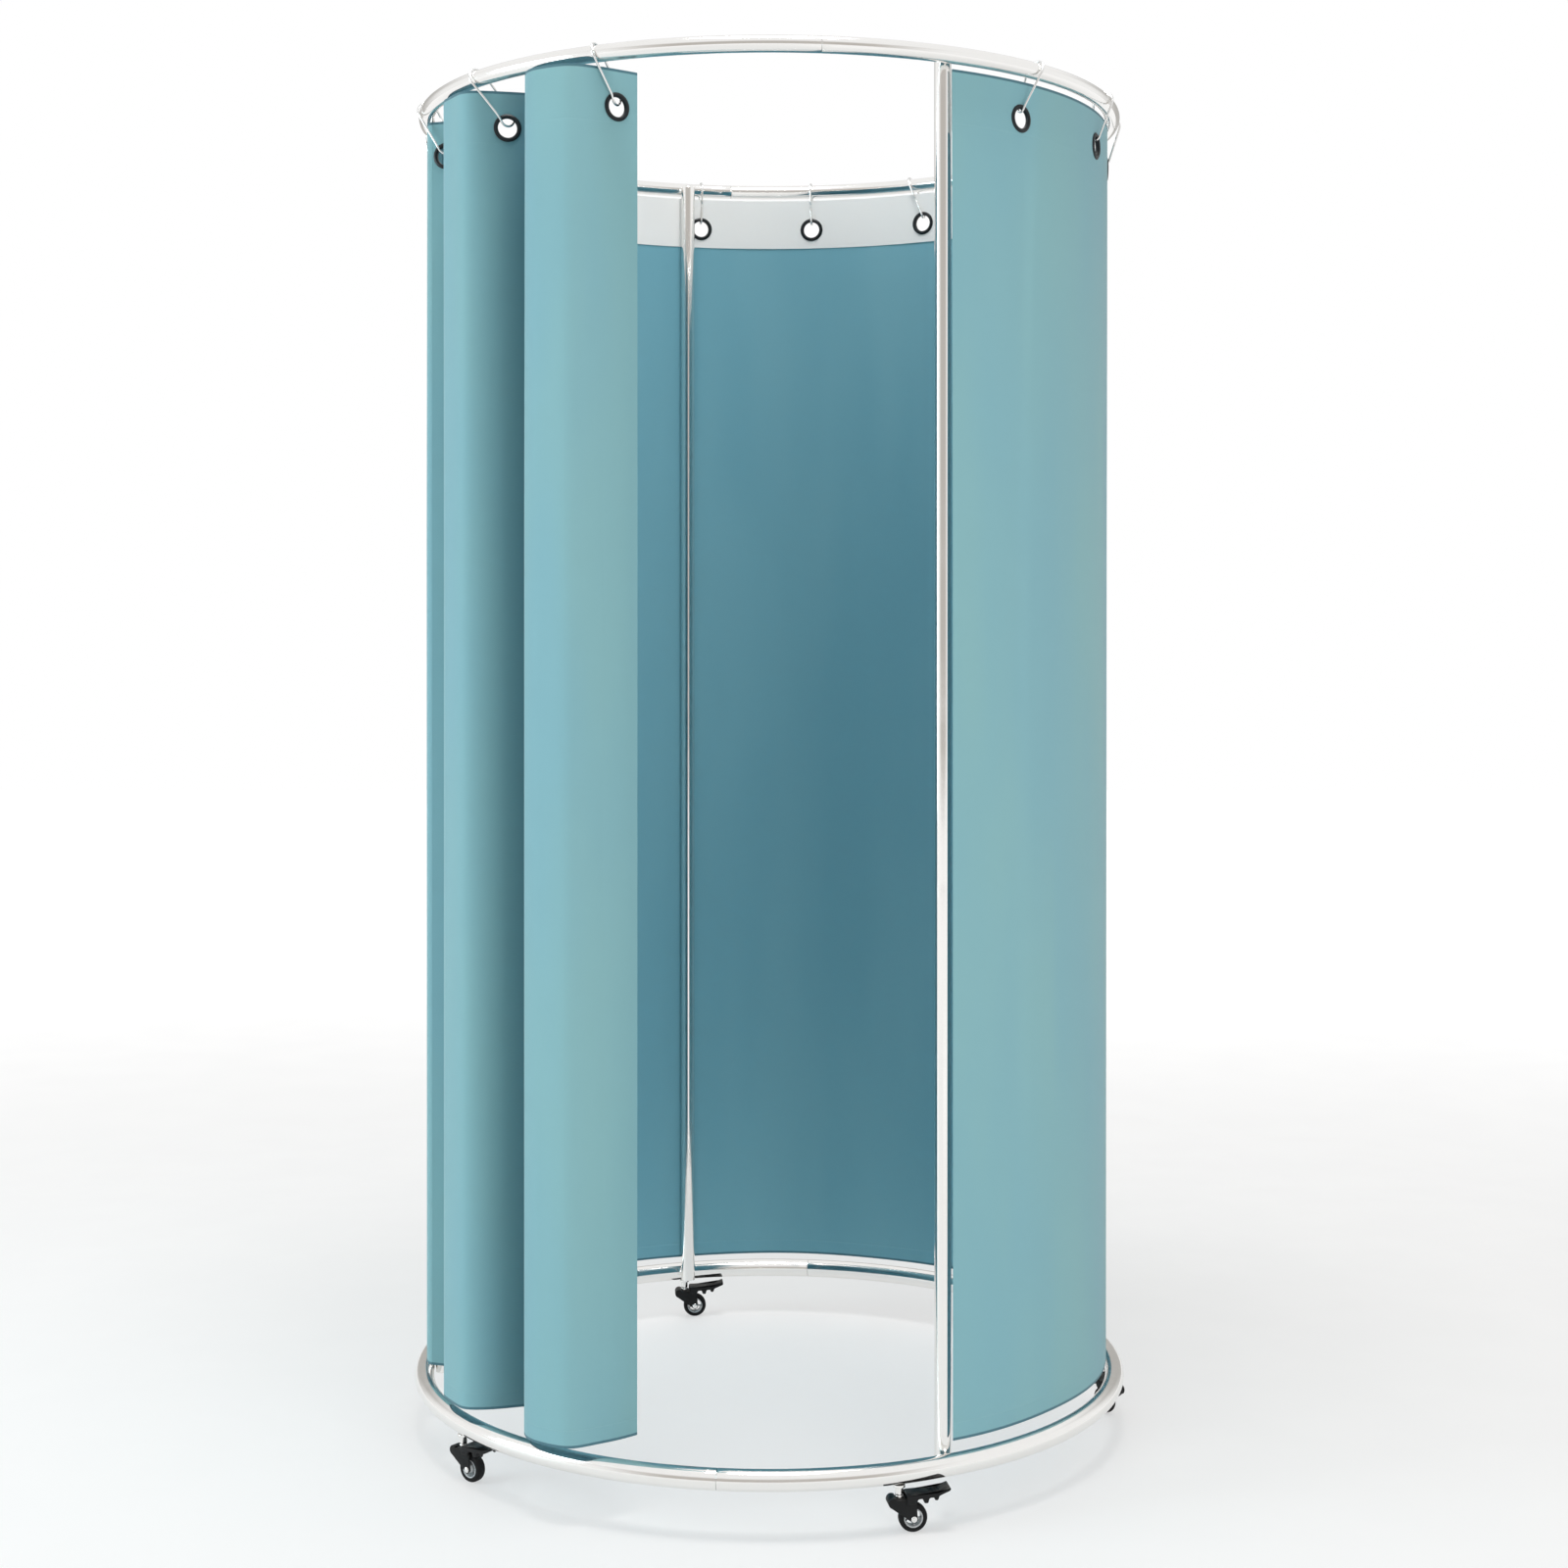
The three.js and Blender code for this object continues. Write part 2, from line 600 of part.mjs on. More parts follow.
// The fork: a nose, a boss round the stem, a deck over the wheel and two legs to the axle.
function forkSolid() {
  const nose = FORK_NOSE / 2;
  const lug = LUG / 2;
  const side = new THREE.Shape();
  side.moveTo(FORK_BACK, FORK_BACK_HEIGHT);
  side.lineTo(PIVOT_REACH - PIVOT, FORK_TOP);
  side.lineTo(-STEM / 2, FORK_TOP);
  side.absarc(-NOSE_REACH, NOSE_HEIGHT, nose, NOSE_ARC[0] * DEG, NOSE_ARC[1] * DEG, false);
  side.absarc(TRAIL, axleHeight, lug, LUG_ARC[0] * DEG, LUG_ARC[1] * DEG, false);
  side.closePath();
  const archWidth = WHEEL_TREAD + 2 * WHEEL_SIDE_GAP;
  const arch = rod(WHEEL + 2 * WHEEL_ARCH_GAP, -archWidth / 2, archWidth / 2, WHEEL_SIDES);
  const trunnion = rod(PIVOT, -pedalWidth / 2, pedalWidth / 2);
  const axleBore = rod(AXLE + 2 * SEAT_GAP, -pedalWidth, pedalWidth);
  const stemBore = rod(STEM_PIN + 2 * SEAT_GAP, FORK_TOP - STEM_PIN_DEPTH - SEAT_GAP,
    FORK_TOP + CUT_OVERRUN);
  const stemSeat = rod(STEM + 2 * SEAT_GAP, FORK_TOP, NOSE_HEIGHT + FORK_NOSE);
  return geometryOf(
    solidOf(slab(side, forkWidth))
      .subtract(solidOf(aboutAxle(arch, TRAIL, axleHeight)))
      .add(solidOf(aboutAxle(trunnion, PIVOT_REACH, PIVOT_HEIGHT)))
      .subtract(solidOf(aboutAxle(axleBore, TRAIL, axleHeight)))
      .subtract(solidOf(stemBore))
      .subtract(solidOf(stemSeat)),
  );
}

// The brake pedal's side: a cheek round the pivot, a flat tread and an upturned tip, with
// a brake lug and a stiffening rib below. Shares of its length from the pivot and its rise.
const PEDAL_OUTLINE_SHARES = [
  [-0.079, 0.66], [0.142, 0.66], [0.203, 0.77], [0.313, 0.78], [0.35, 0.68], [0.442, 0.68],
  [0.473, 0.79], [0.583, 0.8], [0.608, 0.735], [0.681, 0.735], [0.718, 0.83], [0.975, 0.93],
  [1, 0.97], [0.982, 1], [0.693, 0.9], [-0.055, 0.87], [-0.079, 0.84],
];

function pedalSolid() {
  const outline = PEDAL_OUTLINE_SHARES.map(
    ([along, rise]) => new THREE.Vector2(
      PIVOT_REACH + along * PEDAL_LENGTH,
      rise * PEDAL_RISE,
    ),
  );
  const channel = new THREE.Shape([
    new THREE.Vector2(0, 0),
    new THREE.Vector2(FORK_BACK + CUT_OVERRUN, 0),
    new THREE.Vector2(FORK_BACK + CUT_OVERRUN, PEDAL_ROOF),
    new THREE.Vector2(0, PEDAL_ROOF),
  ]);
  const pivotBore = rod(PIVOT + 2 * SEAT_GAP, -pedalWidth, pedalWidth);
  return geometryOf(
    solidOf(slab(new THREE.Shape(outline), pedalWidth))
      .subtract(solidOf(slab(channel, pedalGapWidth)))
      .subtract(solidOf(aboutAxle(pivotBore, PIVOT_REACH, PIVOT_HEIGHT))),
  );
}

function axleSolid() {
  const end = forkWidth / 2 + SEAT_GAP;
  const tip = end + AXLE_HEAD_DEPTH;
  const profile = [[0, -tip], [AXLE_HEAD / 2, -tip], [AXLE_HEAD / 2, -end], [AXLE / 2, -end],
    [AXLE / 2, end], [AXLE_HEAD / 2, end], [AXLE_HEAD / 2, tip], [0, tip]];
  return aboutAxle(turned(profile, ROUND_SIDES), TRAIL, axleHeight);
}

// The stem hangs from the base ring on a flange and pins the fork.
function stemSolid() {
  const shoulder = FORK_TOP + SEAT_GAP;
  const flange = stemTop - STEM_FLANGE_DEPTH;
  return turned(
    [[0, FORK_TOP - STEM_PIN_DEPTH], [STEM_PIN / 2, FORK_TOP - STEM_PIN_DEPTH],
      [STEM_PIN / 2, shoulder], [STEM / 2, shoulder], [STEM / 2, flange],
      [STEM_FLANGE / 2, flange], [STEM_FLANGE / 2, stemTop], [0, stemTop]],
    ROUND_SIDES,
  );
}

function addCasters() {
  const sides = [
    ["stem", stemSolid(), "chrome"],
    ["fork", forkSolid(), "plastic"],
    ["wheel", wheelSolid(), "rubber"],
    ["axle", axleSolid(), "chrome"],
    ["brake_pedal", pedalSolid(), "plastic"],
  ];
  for (const [place, { angle, heading }] of Object.entries(CASTERS)) {
    const caster = new THREE.Group();
    caster.position.copy(polar(baseRadius * chordShare, angle, 0));
    caster.rotation.z = heading * DEG;
    sides.forEach(([name, geometry, finish]) => {
      addPiece(caster, `caster_${place}_${name}`, geometry, finish);
    });
    room.add(caster);
  }
}

addRing("base_ring", baseRadius, baseHeight, BASE_TUBE, BASE_WALL, BASE_SEAM_STEP);
addRing("top_rail", RAIL_RADIUS, RAIL_HEIGHT, RAIL_TUBE, RAIL_WALL, RAIL_SEAM_STEP);
addPosts();
addMainCurtain();
addDoorCurtain();
addCasters();

export default room;
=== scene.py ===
"""The looks of a round portable fitting room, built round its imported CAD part.

Metres, +Z up, origin on the floor on the rings' axis. The doorway faces -Y, and angles
are in degrees, anticlockwise from +X seen from above.
"""

import logging
import math
from dataclasses import dataclass, field
from enum import Enum

import bmesh
import bpy
import numpy as np
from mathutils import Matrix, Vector


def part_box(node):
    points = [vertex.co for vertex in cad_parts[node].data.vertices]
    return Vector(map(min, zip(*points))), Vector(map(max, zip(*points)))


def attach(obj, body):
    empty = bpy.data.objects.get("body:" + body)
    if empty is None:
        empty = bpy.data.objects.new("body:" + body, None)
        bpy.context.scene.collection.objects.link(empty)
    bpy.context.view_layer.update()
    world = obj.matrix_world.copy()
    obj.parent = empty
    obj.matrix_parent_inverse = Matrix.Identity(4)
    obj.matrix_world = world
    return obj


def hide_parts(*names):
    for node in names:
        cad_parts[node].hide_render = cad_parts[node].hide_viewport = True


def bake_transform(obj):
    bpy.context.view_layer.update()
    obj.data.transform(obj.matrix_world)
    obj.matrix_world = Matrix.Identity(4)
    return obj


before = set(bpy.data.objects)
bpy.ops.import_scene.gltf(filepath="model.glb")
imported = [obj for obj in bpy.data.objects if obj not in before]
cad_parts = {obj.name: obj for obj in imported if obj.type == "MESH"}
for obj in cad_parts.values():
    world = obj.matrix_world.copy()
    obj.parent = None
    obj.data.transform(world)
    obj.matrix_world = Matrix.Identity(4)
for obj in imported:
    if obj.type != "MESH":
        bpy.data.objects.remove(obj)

LOG = logging.getLogger("fitting_room")
FRAME_BODY = "frame"

Array = np.ndarray
Socket = bpy.types.NodeSocket
Colour = tuple[float, float, float, float]

WHITE: Colour = (1.0, 1.0, 1.0, 1.0)
BLACK: Colour = (0.0, 0.0, 0.0, 1.0)
TURN = 2 * math.pi
TINY = 1e-9  # Keeps a division by a length from failing.
ACROSS = np.array([[1.0, 0.0, 0.0], [0.0, 0.0, 1.0], [0.0, -1.0, 0.0]])  # Turns Z to +Y.


class Face(Enum):
    """Which finish a face of a sheet takes: its outer side or its inner side."""

    OUTER = 0
    INNER = 1


class Place(Enum):
    """Where a caster stands under the base ring."""

    FRONT_RIGHT = "front_right"
    RIGHT = "right"
    BACK_LEFT = "back_left"
    FRONT_LEFT = "front_left"


# Surfaces as arrays


def polar(radius: Array | float, degrees: Array | float, height: Array | float) -> Array:
    """Points (radius cos a, radius sin a, height) about the rings' axis.

    Args:
        radius: Distance from the axis.
        degrees: Angle a.
        height: Height above the floor.

    Returns:
        An array whose last axis is X, Y, Z.
    """
    angle = np.radians(degrees)
    return np.stack(np.broadcast_arrays(radius * np.cos(angle), radius * np.sin(angle), height), -1)


def grid_faces(rows: int, columns: int, round_rows: bool, round_columns: bool, start: int = 0) -> Array:
    """Quads (i, j), (i, j + 1), (i + 1, j + 1), (i + 1, j) of a grid of points.

    Args:
        rows: Points along the first parameter.
        columns: Points along the second.
        round_rows: Whether the last row joins the first.
        round_columns: Whether the last column joins the first.
        start: Index of the grid's first point.

    Returns:
        An array of four corner indices per quad.
    """
    i = np.arange(rows if round_rows else rows - 1)[:, None]
    j = np.arange(columns if round_columns else columns - 1)[None, :]
    below, beside = (i + 1) % rows, (j + 1) % columns
    corners = (i * columns + j, i * columns + beside, below * columns + beside, below * columns + j)
    return np.stack(np.broadcast_arrays(*corners), -1).reshape(-1, 4) + start


class Shell:
    """Vertices and faces gathered from several closed surfaces into one mesh."""

    def __init__(self) -> None:
        """Starts with nothing in it."""
        self.points: list[Array] = []
        self.faces: list[list[int]] = []
        self.count = 0

    def add_grid(self, points: Array, round_rows: bool, round_columns: bool, caps: bool = False) -> "Shell":
        """Adds a grid of points.

        Args:
            points: Array of rows by columns by 3.
            round_rows: Whether the last row joins the first.
            round_columns: Whether the last column joins the first.
            caps: Whether the first and last rows are closed by one face each.

        Returns:
            The shell itself.
        """
        rows, columns, _ = points.shape
        self.faces += grid_faces(rows, columns, round_rows, round_columns, self.count).tolist()
        if caps:
            last = self.count + (rows - 1) * columns
            self.faces.append(list(range(self.count, self.count + columns)))
            self.faces.append(list(range(last + columns - 1, last - 1, -1)))
        self.points.append(points.reshape(-1, 3))
        self.count += rows * columns
        return self

    def moved(self, turn: Array, shift: Array) -> "Shell":
        """Turns and shifts every point gathered so far: p becomes turn p + shift."""
        self.points = [p @ turn.T + shift for p in self.points]
        return self

    def mesh(self, name: str) -> bpy.types.Mesh:
        """Makes the mesh, with its faces turned outwards.

        Args:
            name: The mesh's name.

        Returns:
            The mesh, not yet on an object.
        """
        made = bpy.data.meshes.new(name)
        made.from_pydata(np.concatenate(self.points).tolist(), [], self.faces)
        work = bmesh.new()
        work.from_mesh(made)
        bmesh.ops.recalc_face_normals(work, faces=work.faces)
        work.to_mesh(made)
        work.free()
        return made


def turned(profile: Array, sides: int) -> Array:
    """A profile of (radius, height) turned about Z: point (i, j) is profile i at angle j.

    Args:
        profile: Array of points by 2.
        sides: Steps of the full turn.

    Returns:
        A grid of points by sides by 3.
    """
    degrees = np.arange(sides) * 360 / sides
    return polar(profile[:, 0:1], degrees[None, :], profile[:, 1:2])


def eased(profile: Array, edge: float, steps: int = 4) -> Array:
    """Rounds each corner of a profile by a quadratic curve that starts edge before it.

    The curve is (1-t)^2 before + 2t(1-t) corner + t^2 after. Short sides are halved.

    Args:
        profile: Corners by 2. The first and last stay sharp.
        edge: Length of each side taken by the curve.
        steps: Steps of the curve.

    Returns:
        The rounded profile.
    """
    corner, before, after = profile[1:-1], profile[:-2], profile[2:]
    back, ahead = before - corner, after - corner
    back_length = np.linalg.norm(back, axis=1, keepdims=True)
    ahead_length = np.linalg.norm(ahead, axis=1, keepdims=True)
    start = corner + back * np.minimum(edge / back_length, 0.5)
    end = corner + ahead * np.minimum(edge / ahead_length, 0.5)
    t = np.linspace(0, 1, steps + 1)[None, :, None]
    curve = (1 - t) ** 2 * start[:, None] + 2 * t * (1 - t) * corner[:, None] + t**2 * end[:, None]
    return np.concatenate([profile[:1], curve.reshape(-1, profile.shape[1]), profile[-1:]])


def closed_eased(outline: Array, edge: float, steps: int = 3) -> Array:
    """Rounds every corner of a closed outline as eased() does."""
    wrapped = np.concatenate([outline[-1:], outline, outline[:1]])
    return eased(wrapped, edge, steps)[1:-1]


def inset(outline: Array, distance: float, shortest: float = 0.5) -> Array:
    """A closed outline moved inwards along the mean of its sides' normals.

    Args:
        outline: Anticlockwise corners by 2.
        distance: How far in.
        shortest: The mean counts as this long where a corner is so sharp that it is less.

    Returns:
        The moved corners.
    """
    ahead = np.roll(outline, -1, 0) - outline
    ahead /= np.maximum(np.linalg.norm(ahead, axis=1, keepdims=True), TINY)
    normal = np.stack([-ahead[:, 1], ahead[:, 0]], 1)
    mean = normal + np.roll(normal, 1, 0)
    mean /= np.maximum(np.linalg.norm(mean, axis=1, keepdims=True), shortest)
    return outline + mean * distance


def plate(outline: Array, near: float, far: float, edge: float, steps: int = 3) -> Array:
    """An outline in X and Z carried along Y, with quarter-round edges.

    Layer k lies edge (1 - sin a) inside the outline at edge (1 - cos a) from the face,
    where a goes from 0 to a right angle.

    Args:
        outline: Anticlockwise corners by 2.
        near: Lower Y.
        far: Upper Y.
        edge: Radius of the edges.
        steps: Steps of each edge.

    Returns:
        A grid of layers by corners by 3, to be capped.
    """
    angle = np.linspace(0, math.pi / 2, steps + 1)
    depth = edge * (1 - np.cos(angle))
    step_in = edge * (1 - np.sin(angle))
    levels = np.concatenate([near + depth, far - depth[::-1]])
    insets = np.concatenate([step_in, step_in[::-1]])
    layers = np.stack([inset(outline, distance) for distance in insets])
    y = np.broadcast_to(levels[:, None], layers.shape[:2])
    return np.stack([layers[..., 0], y, layers[..., 1]], -1)


def wire(path: Array, side: Array, radii: Array, sides: int) -> Array:
    """A round wire along a path: circles across it, spanned by side x tangent and its normal.

    Args:
        path: Points by 3.
        side: A direction that is never along the path.
        radii: Wire radius at each point.
        sides: Steps round the wire.

    Returns:
        A grid of points by sides by 3.
    """
    tangent = np.gradient(path, axis=0)
    tangent /= np.linalg.norm(tangent, axis=1, keepdims=True)
    across = np.cross(side, tangent)
    across /= np.linalg.norm(across, axis=1, keepdims=True)
    other = np.cross(tangent, across)
    turn = np.arange(sides) * TURN / sides
    ring = np.cos(turn)[None, :, None] * across[:, None] + np.sin(turn)[None, :, None] * other[:, None]
    return path[:, None] + radii[:, None, None] * ring


# Materials


class Graph:
    """A node tree with short calls to add and join nodes."""

    def __init__(self, tree: bpy.types.NodeTree) -> None:
        """Keeps the tree."""
        self.tree = tree

    def add(self, kind: str, inputs: dict | None = None, **settings: object) -> bpy.types.Node:
        """Adds a node.

        Args:
            kind: Node type, without its ShaderNode prefix.
            inputs: Socket name or index to a value or an output socket.
            settings: The node's own properties.

        Returns:
            The node.
        """
        node = self.tree.nodes.new(kind if kind.startswith("NodeGroup") else "ShaderNode" + kind)
        for name, value in settings.items():
            setattr(node, name, value)
        for key, value in (inputs or {}).items():
            if isinstance(value, Socket):
                self.join(value, node.inputs[key])
            else:
                node.inputs[key].default_value = value
        return node

    def join(self, out: Socket, into: Socket) -> None:
        """Links an output to an input."""
        self.tree.links.new(out, into)

    def math(self, operation: str, a: object, b: object = 0.0, c: object = 0.0) -> Socket:
        """The output of a Math node."""
        return self.add("Math", {0: a, 1: b, 2: c}, operation=operation).outputs[0]

    def ramp(self, value: object, low: float, high: float, start: float = 0.0, end: float = 1.0) -> Socket:
        """Maps value from low..high to start..end along a smooth step."""
        inputs = {"Value": value, "From Min": low, "From Max": high, "To Min": start, "To Max": end}
        return self.add("MapRange", inputs, interpolation_type="SMOOTHSTEP").outputs[0]

    def mix(self, factor: object, a: object, b: object) -> Socket:
        """Mixes two colours, which are the Mix node's inputs 6 and 7 and output 2."""
        return self.add("Mix", {0: factor, 6: a, 7: b}, data_type="RGBA").outputs[2]

    def noise(self, scale: object, detail: float, vector: object = None, rough: float = 0.5) -> Socket:
        """The value of a noise.

        Args:
            scale: How fine it is.
            detail: How many finer layers it has.
            vector: Where it is read, or nothing for the object's own coordinates.
            rough: How strong the finer layers are.

        Returns:
            The noise's output.
        """
        place = vector or self.add("TexCoord").outputs["Object"]
        inputs = {"Vector": place, "Scale": scale, "Detail": detail, "Roughness": rough}
        return self.add("TexNoise", inputs).outputs["Fac"]

    def uv(self) -> Socket:
        """The cloth's own coordinates in metres: along it, and up from its hem."""
        return self.add("UVMap").outputs[0]


def new_group(name: str, inputs: dict[str, float], outputs: list[str]) -> tuple[Graph, dict, dict]:
    """Makes an empty node group with float sockets.

    Args:
        name: Name of the group.
        inputs: Input names and their usual values.
        outputs: Output names.

    Returns:
        The group's graph, its inputs' sockets, and its outputs' sockets by name.
    """
    tree = bpy.data.node_groups.new(name, "ShaderNodeTree")
    for key, value in inputs.items():
        socket = tree.interface.new_socket(key, in_out="INPUT", socket_type="NodeSocketFloat")
        socket.default_value = value
    for key in outputs:
        tree.interface.new_socket(key, in_out="OUTPUT", socket_type="NodeSocketFloat")
    graph = Graph(tree)
    entry = graph.add("NodeGroupInput")
    leave = graph.add("NodeGroupOutput")
    return graph, {key: entry.outputs[key] for key in inputs}, {key: leave.inputs[key] for key in outputs}


class Effects:
    """The effects that several materials share, each a node group built once."""

    def __init__(self) -> None:
        """Builds the groups."""
        self.weave = self._weave()
        self.stitch = self._stitch()
        self.dust = self._dust()
        self.handling = self._handling()
        self.grain = self._grain()

    @staticmethod
    def _weave() -> bpy.types.NodeTree:
        """Plain weave on UV in metres: warp and weft threads take turns on top.

        Returns:
            The group.
        """
        slub_scale, slub_share = 420.0, 0.5
        g, given, out = new_group("plain_weave", {"Pitch": 0.0006}, ["Height", "Tone"])
        uv = g.add("SeparateXYZ", {0: g.uv()})
        across = g.math("DIVIDE", uv.outputs[0], given["Pitch"])
        up = g.math("DIVIDE", uv.outputs[1], given["Pitch"])
        warp = g.math("ABSOLUTE", g.math("SINE", g.math("MULTIPLY", across, math.pi)))
        weft = g.math("ABSOLUTE", g.math("SINE", g.math("MULTIPLY", up, math.pi)))
        turn = g.math("ADD", g.math("FLOOR", across), g.math("FLOOR", up))
        over = g.math("FLOORED_MODULO", turn, 2.0)
        under = g.math("SUBTRACT", 1.0, over)
        top = g.math("ADD", g.math("MULTIPLY", warp, over), g.math("MULTIPLY", weft, under))
        slub = g.noise(slub_scale, 2.0, g.uv())
        g.join(g.math("ADD", top, g.math("MULTIPLY", slub, slub_share)), out["Height"])
        g.join(g.math("MULTIPLY", top, g.ramp(slub, 0.3, 0.7, start=0.7)), out["Tone"])
        return g.tree

    @staticmethod
    def _stitch() -> bpy.types.NodeTree:
        """A row of stitches at Distance 0 along UV's first direction.

        Returns:
            The group.
        """
        inputs = {"Distance": 0.0, "Pitch": 0.004, "Thread": 0.0005}
        half_dash, pucker_reach = 0.36, 0.003
        pucker_mean, pucker_wave = 0.7, 0.3
        g, given, out = new_group("stitch_row", inputs, ["Mask", "Pucker"])
        along = g.add("SeparateXYZ", {0: g.uv()}).outputs[0]
        away = g.math("ABSOLUTE", given["Distance"])
        part = g.math("FRACT", g.math("DIVIDE", along, given["Pitch"]))
        dash = g.math("LESS_THAN", g.math("ABSOLUTE", g.math("SUBTRACT", part, 0.5)), half_dash)
        line = g.math("LESS_THAN", away, given["Thread"])
        g.join(g.math("MULTIPLY", line, dash), out["Mask"])
        near = g.math("SUBTRACT", 1.0, g.ramp(away, 0.0, pucker_reach))
        swing = g.math("MULTIPLY", g.math("SINE", g.math("MULTIPLY", part, TURN)), pucker_wave)
        wave = g.math("ADD", pucker_mean, swing)
        g.join(g.math("MULTIPLY", near, wave), out["Pucker"])
        return g.tree

    @staticmethod
    def _dust() -> bpy.types.NodeTree:
        """Thin dust on faces that look up, broken by noise.

        Returns:
            The group.
        """
        patch_scale, least_up = 60.0, 0.3
        g, given, out = new_group("settled_dust", {"Amount": 0.3}, ["Mask"])
        up = g.add("SeparateXYZ", {0: g.add("NewGeometry").outputs["Normal"]}).outputs[2]
        patch = g.ramp(g.noise(patch_scale, 5.0), 0.35, 0.75)
        level = g.math("MULTIPLY", g.ramp(up, least_up, 1.0), patch)
        g.join(g.math("MULTIPLY", level, given["Amount"]), out["Mask"])
        return g.tree

    @staticmethod
    def _handling() -> bpy.types.NodeTree:
        """Soft smudges and fine rubbing on polished metal.

        Returns:
            The group.
        """
        inputs = {"Low": 0.06, "High": 0.2, "Scale": 9.0}
        rub_scale, rub_most, dent_scale = 520.0, 0.12, 14.0
        g, given, out = new_group("handling_marks", inputs, ["Roughness", "Height"])
        place = g.add("TexCoord").outputs["Object"]
        smudge = g.noise(given["Scale"], 6.0, place, rough=0.62)
        share = g.ramp(smudge, 0.42, 0.78)
        rub = g.ramp(g.noise(rub_scale, 2.0, place), 0.3, 0.8, end=rub_most)
        span = g.math("SUBTRACT", given["High"], given["Low"])
        rough = g.math("MULTIPLY_ADD", g.math("ADD", share, rub), span, given["Low"])
        g.join(rough, out["Roughness"])
        g.join(g.noise(dent_scale, 3.0, place), out["Height"])
        return g.tree

    @staticmethod
    def _grain() -> bpy.types.NodeTree:
        """The fine spark-eroded grain of moulded plastic and rubber.

        Returns:
            The group.
        """
        patch_scale = 35.0
        g, given, out = new_group("moulded_grain", {"Scale": 1800.0}, ["Height", "Tone"])
        place = g.add("TexCoord").outputs["Object"]
        cells = g.add("TexVoronoi", {"Vector": place, "Scale": given["Scale"]}, feature="SMOOTH_F1")
        g.join(cells.outputs["Distance"], out["Height"])
        g.join(g.ramp(g.noise(patch_scale, 4.0, place), 0.3, 0.7), out["Tone"])
        return g.tree


def start_material(name: str) -> tuple[bpy.types.Material, Graph, bpy.types.Node]:
    """A new material.

    Args:
        name: Its name.

    Returns:
        The material, its graph and its main shader.
    """
    made = bpy.data.materials.new(name)
    made.use_nodes = True
    return made, Graph(made.node_tree), made.node_tree.nodes["Principled BSDF"]


def set_bump(g: Graph, shader: bpy.types.Node, height: Socket, strength: float, distance: float) -> None:
    """Feeds a height to the shader's normal."""
    bump = g.add("Bump", {"Height": height, "Strength": strength, "Distance": distance})
    g.join(bump.outputs[0], shader.inputs["Normal"])


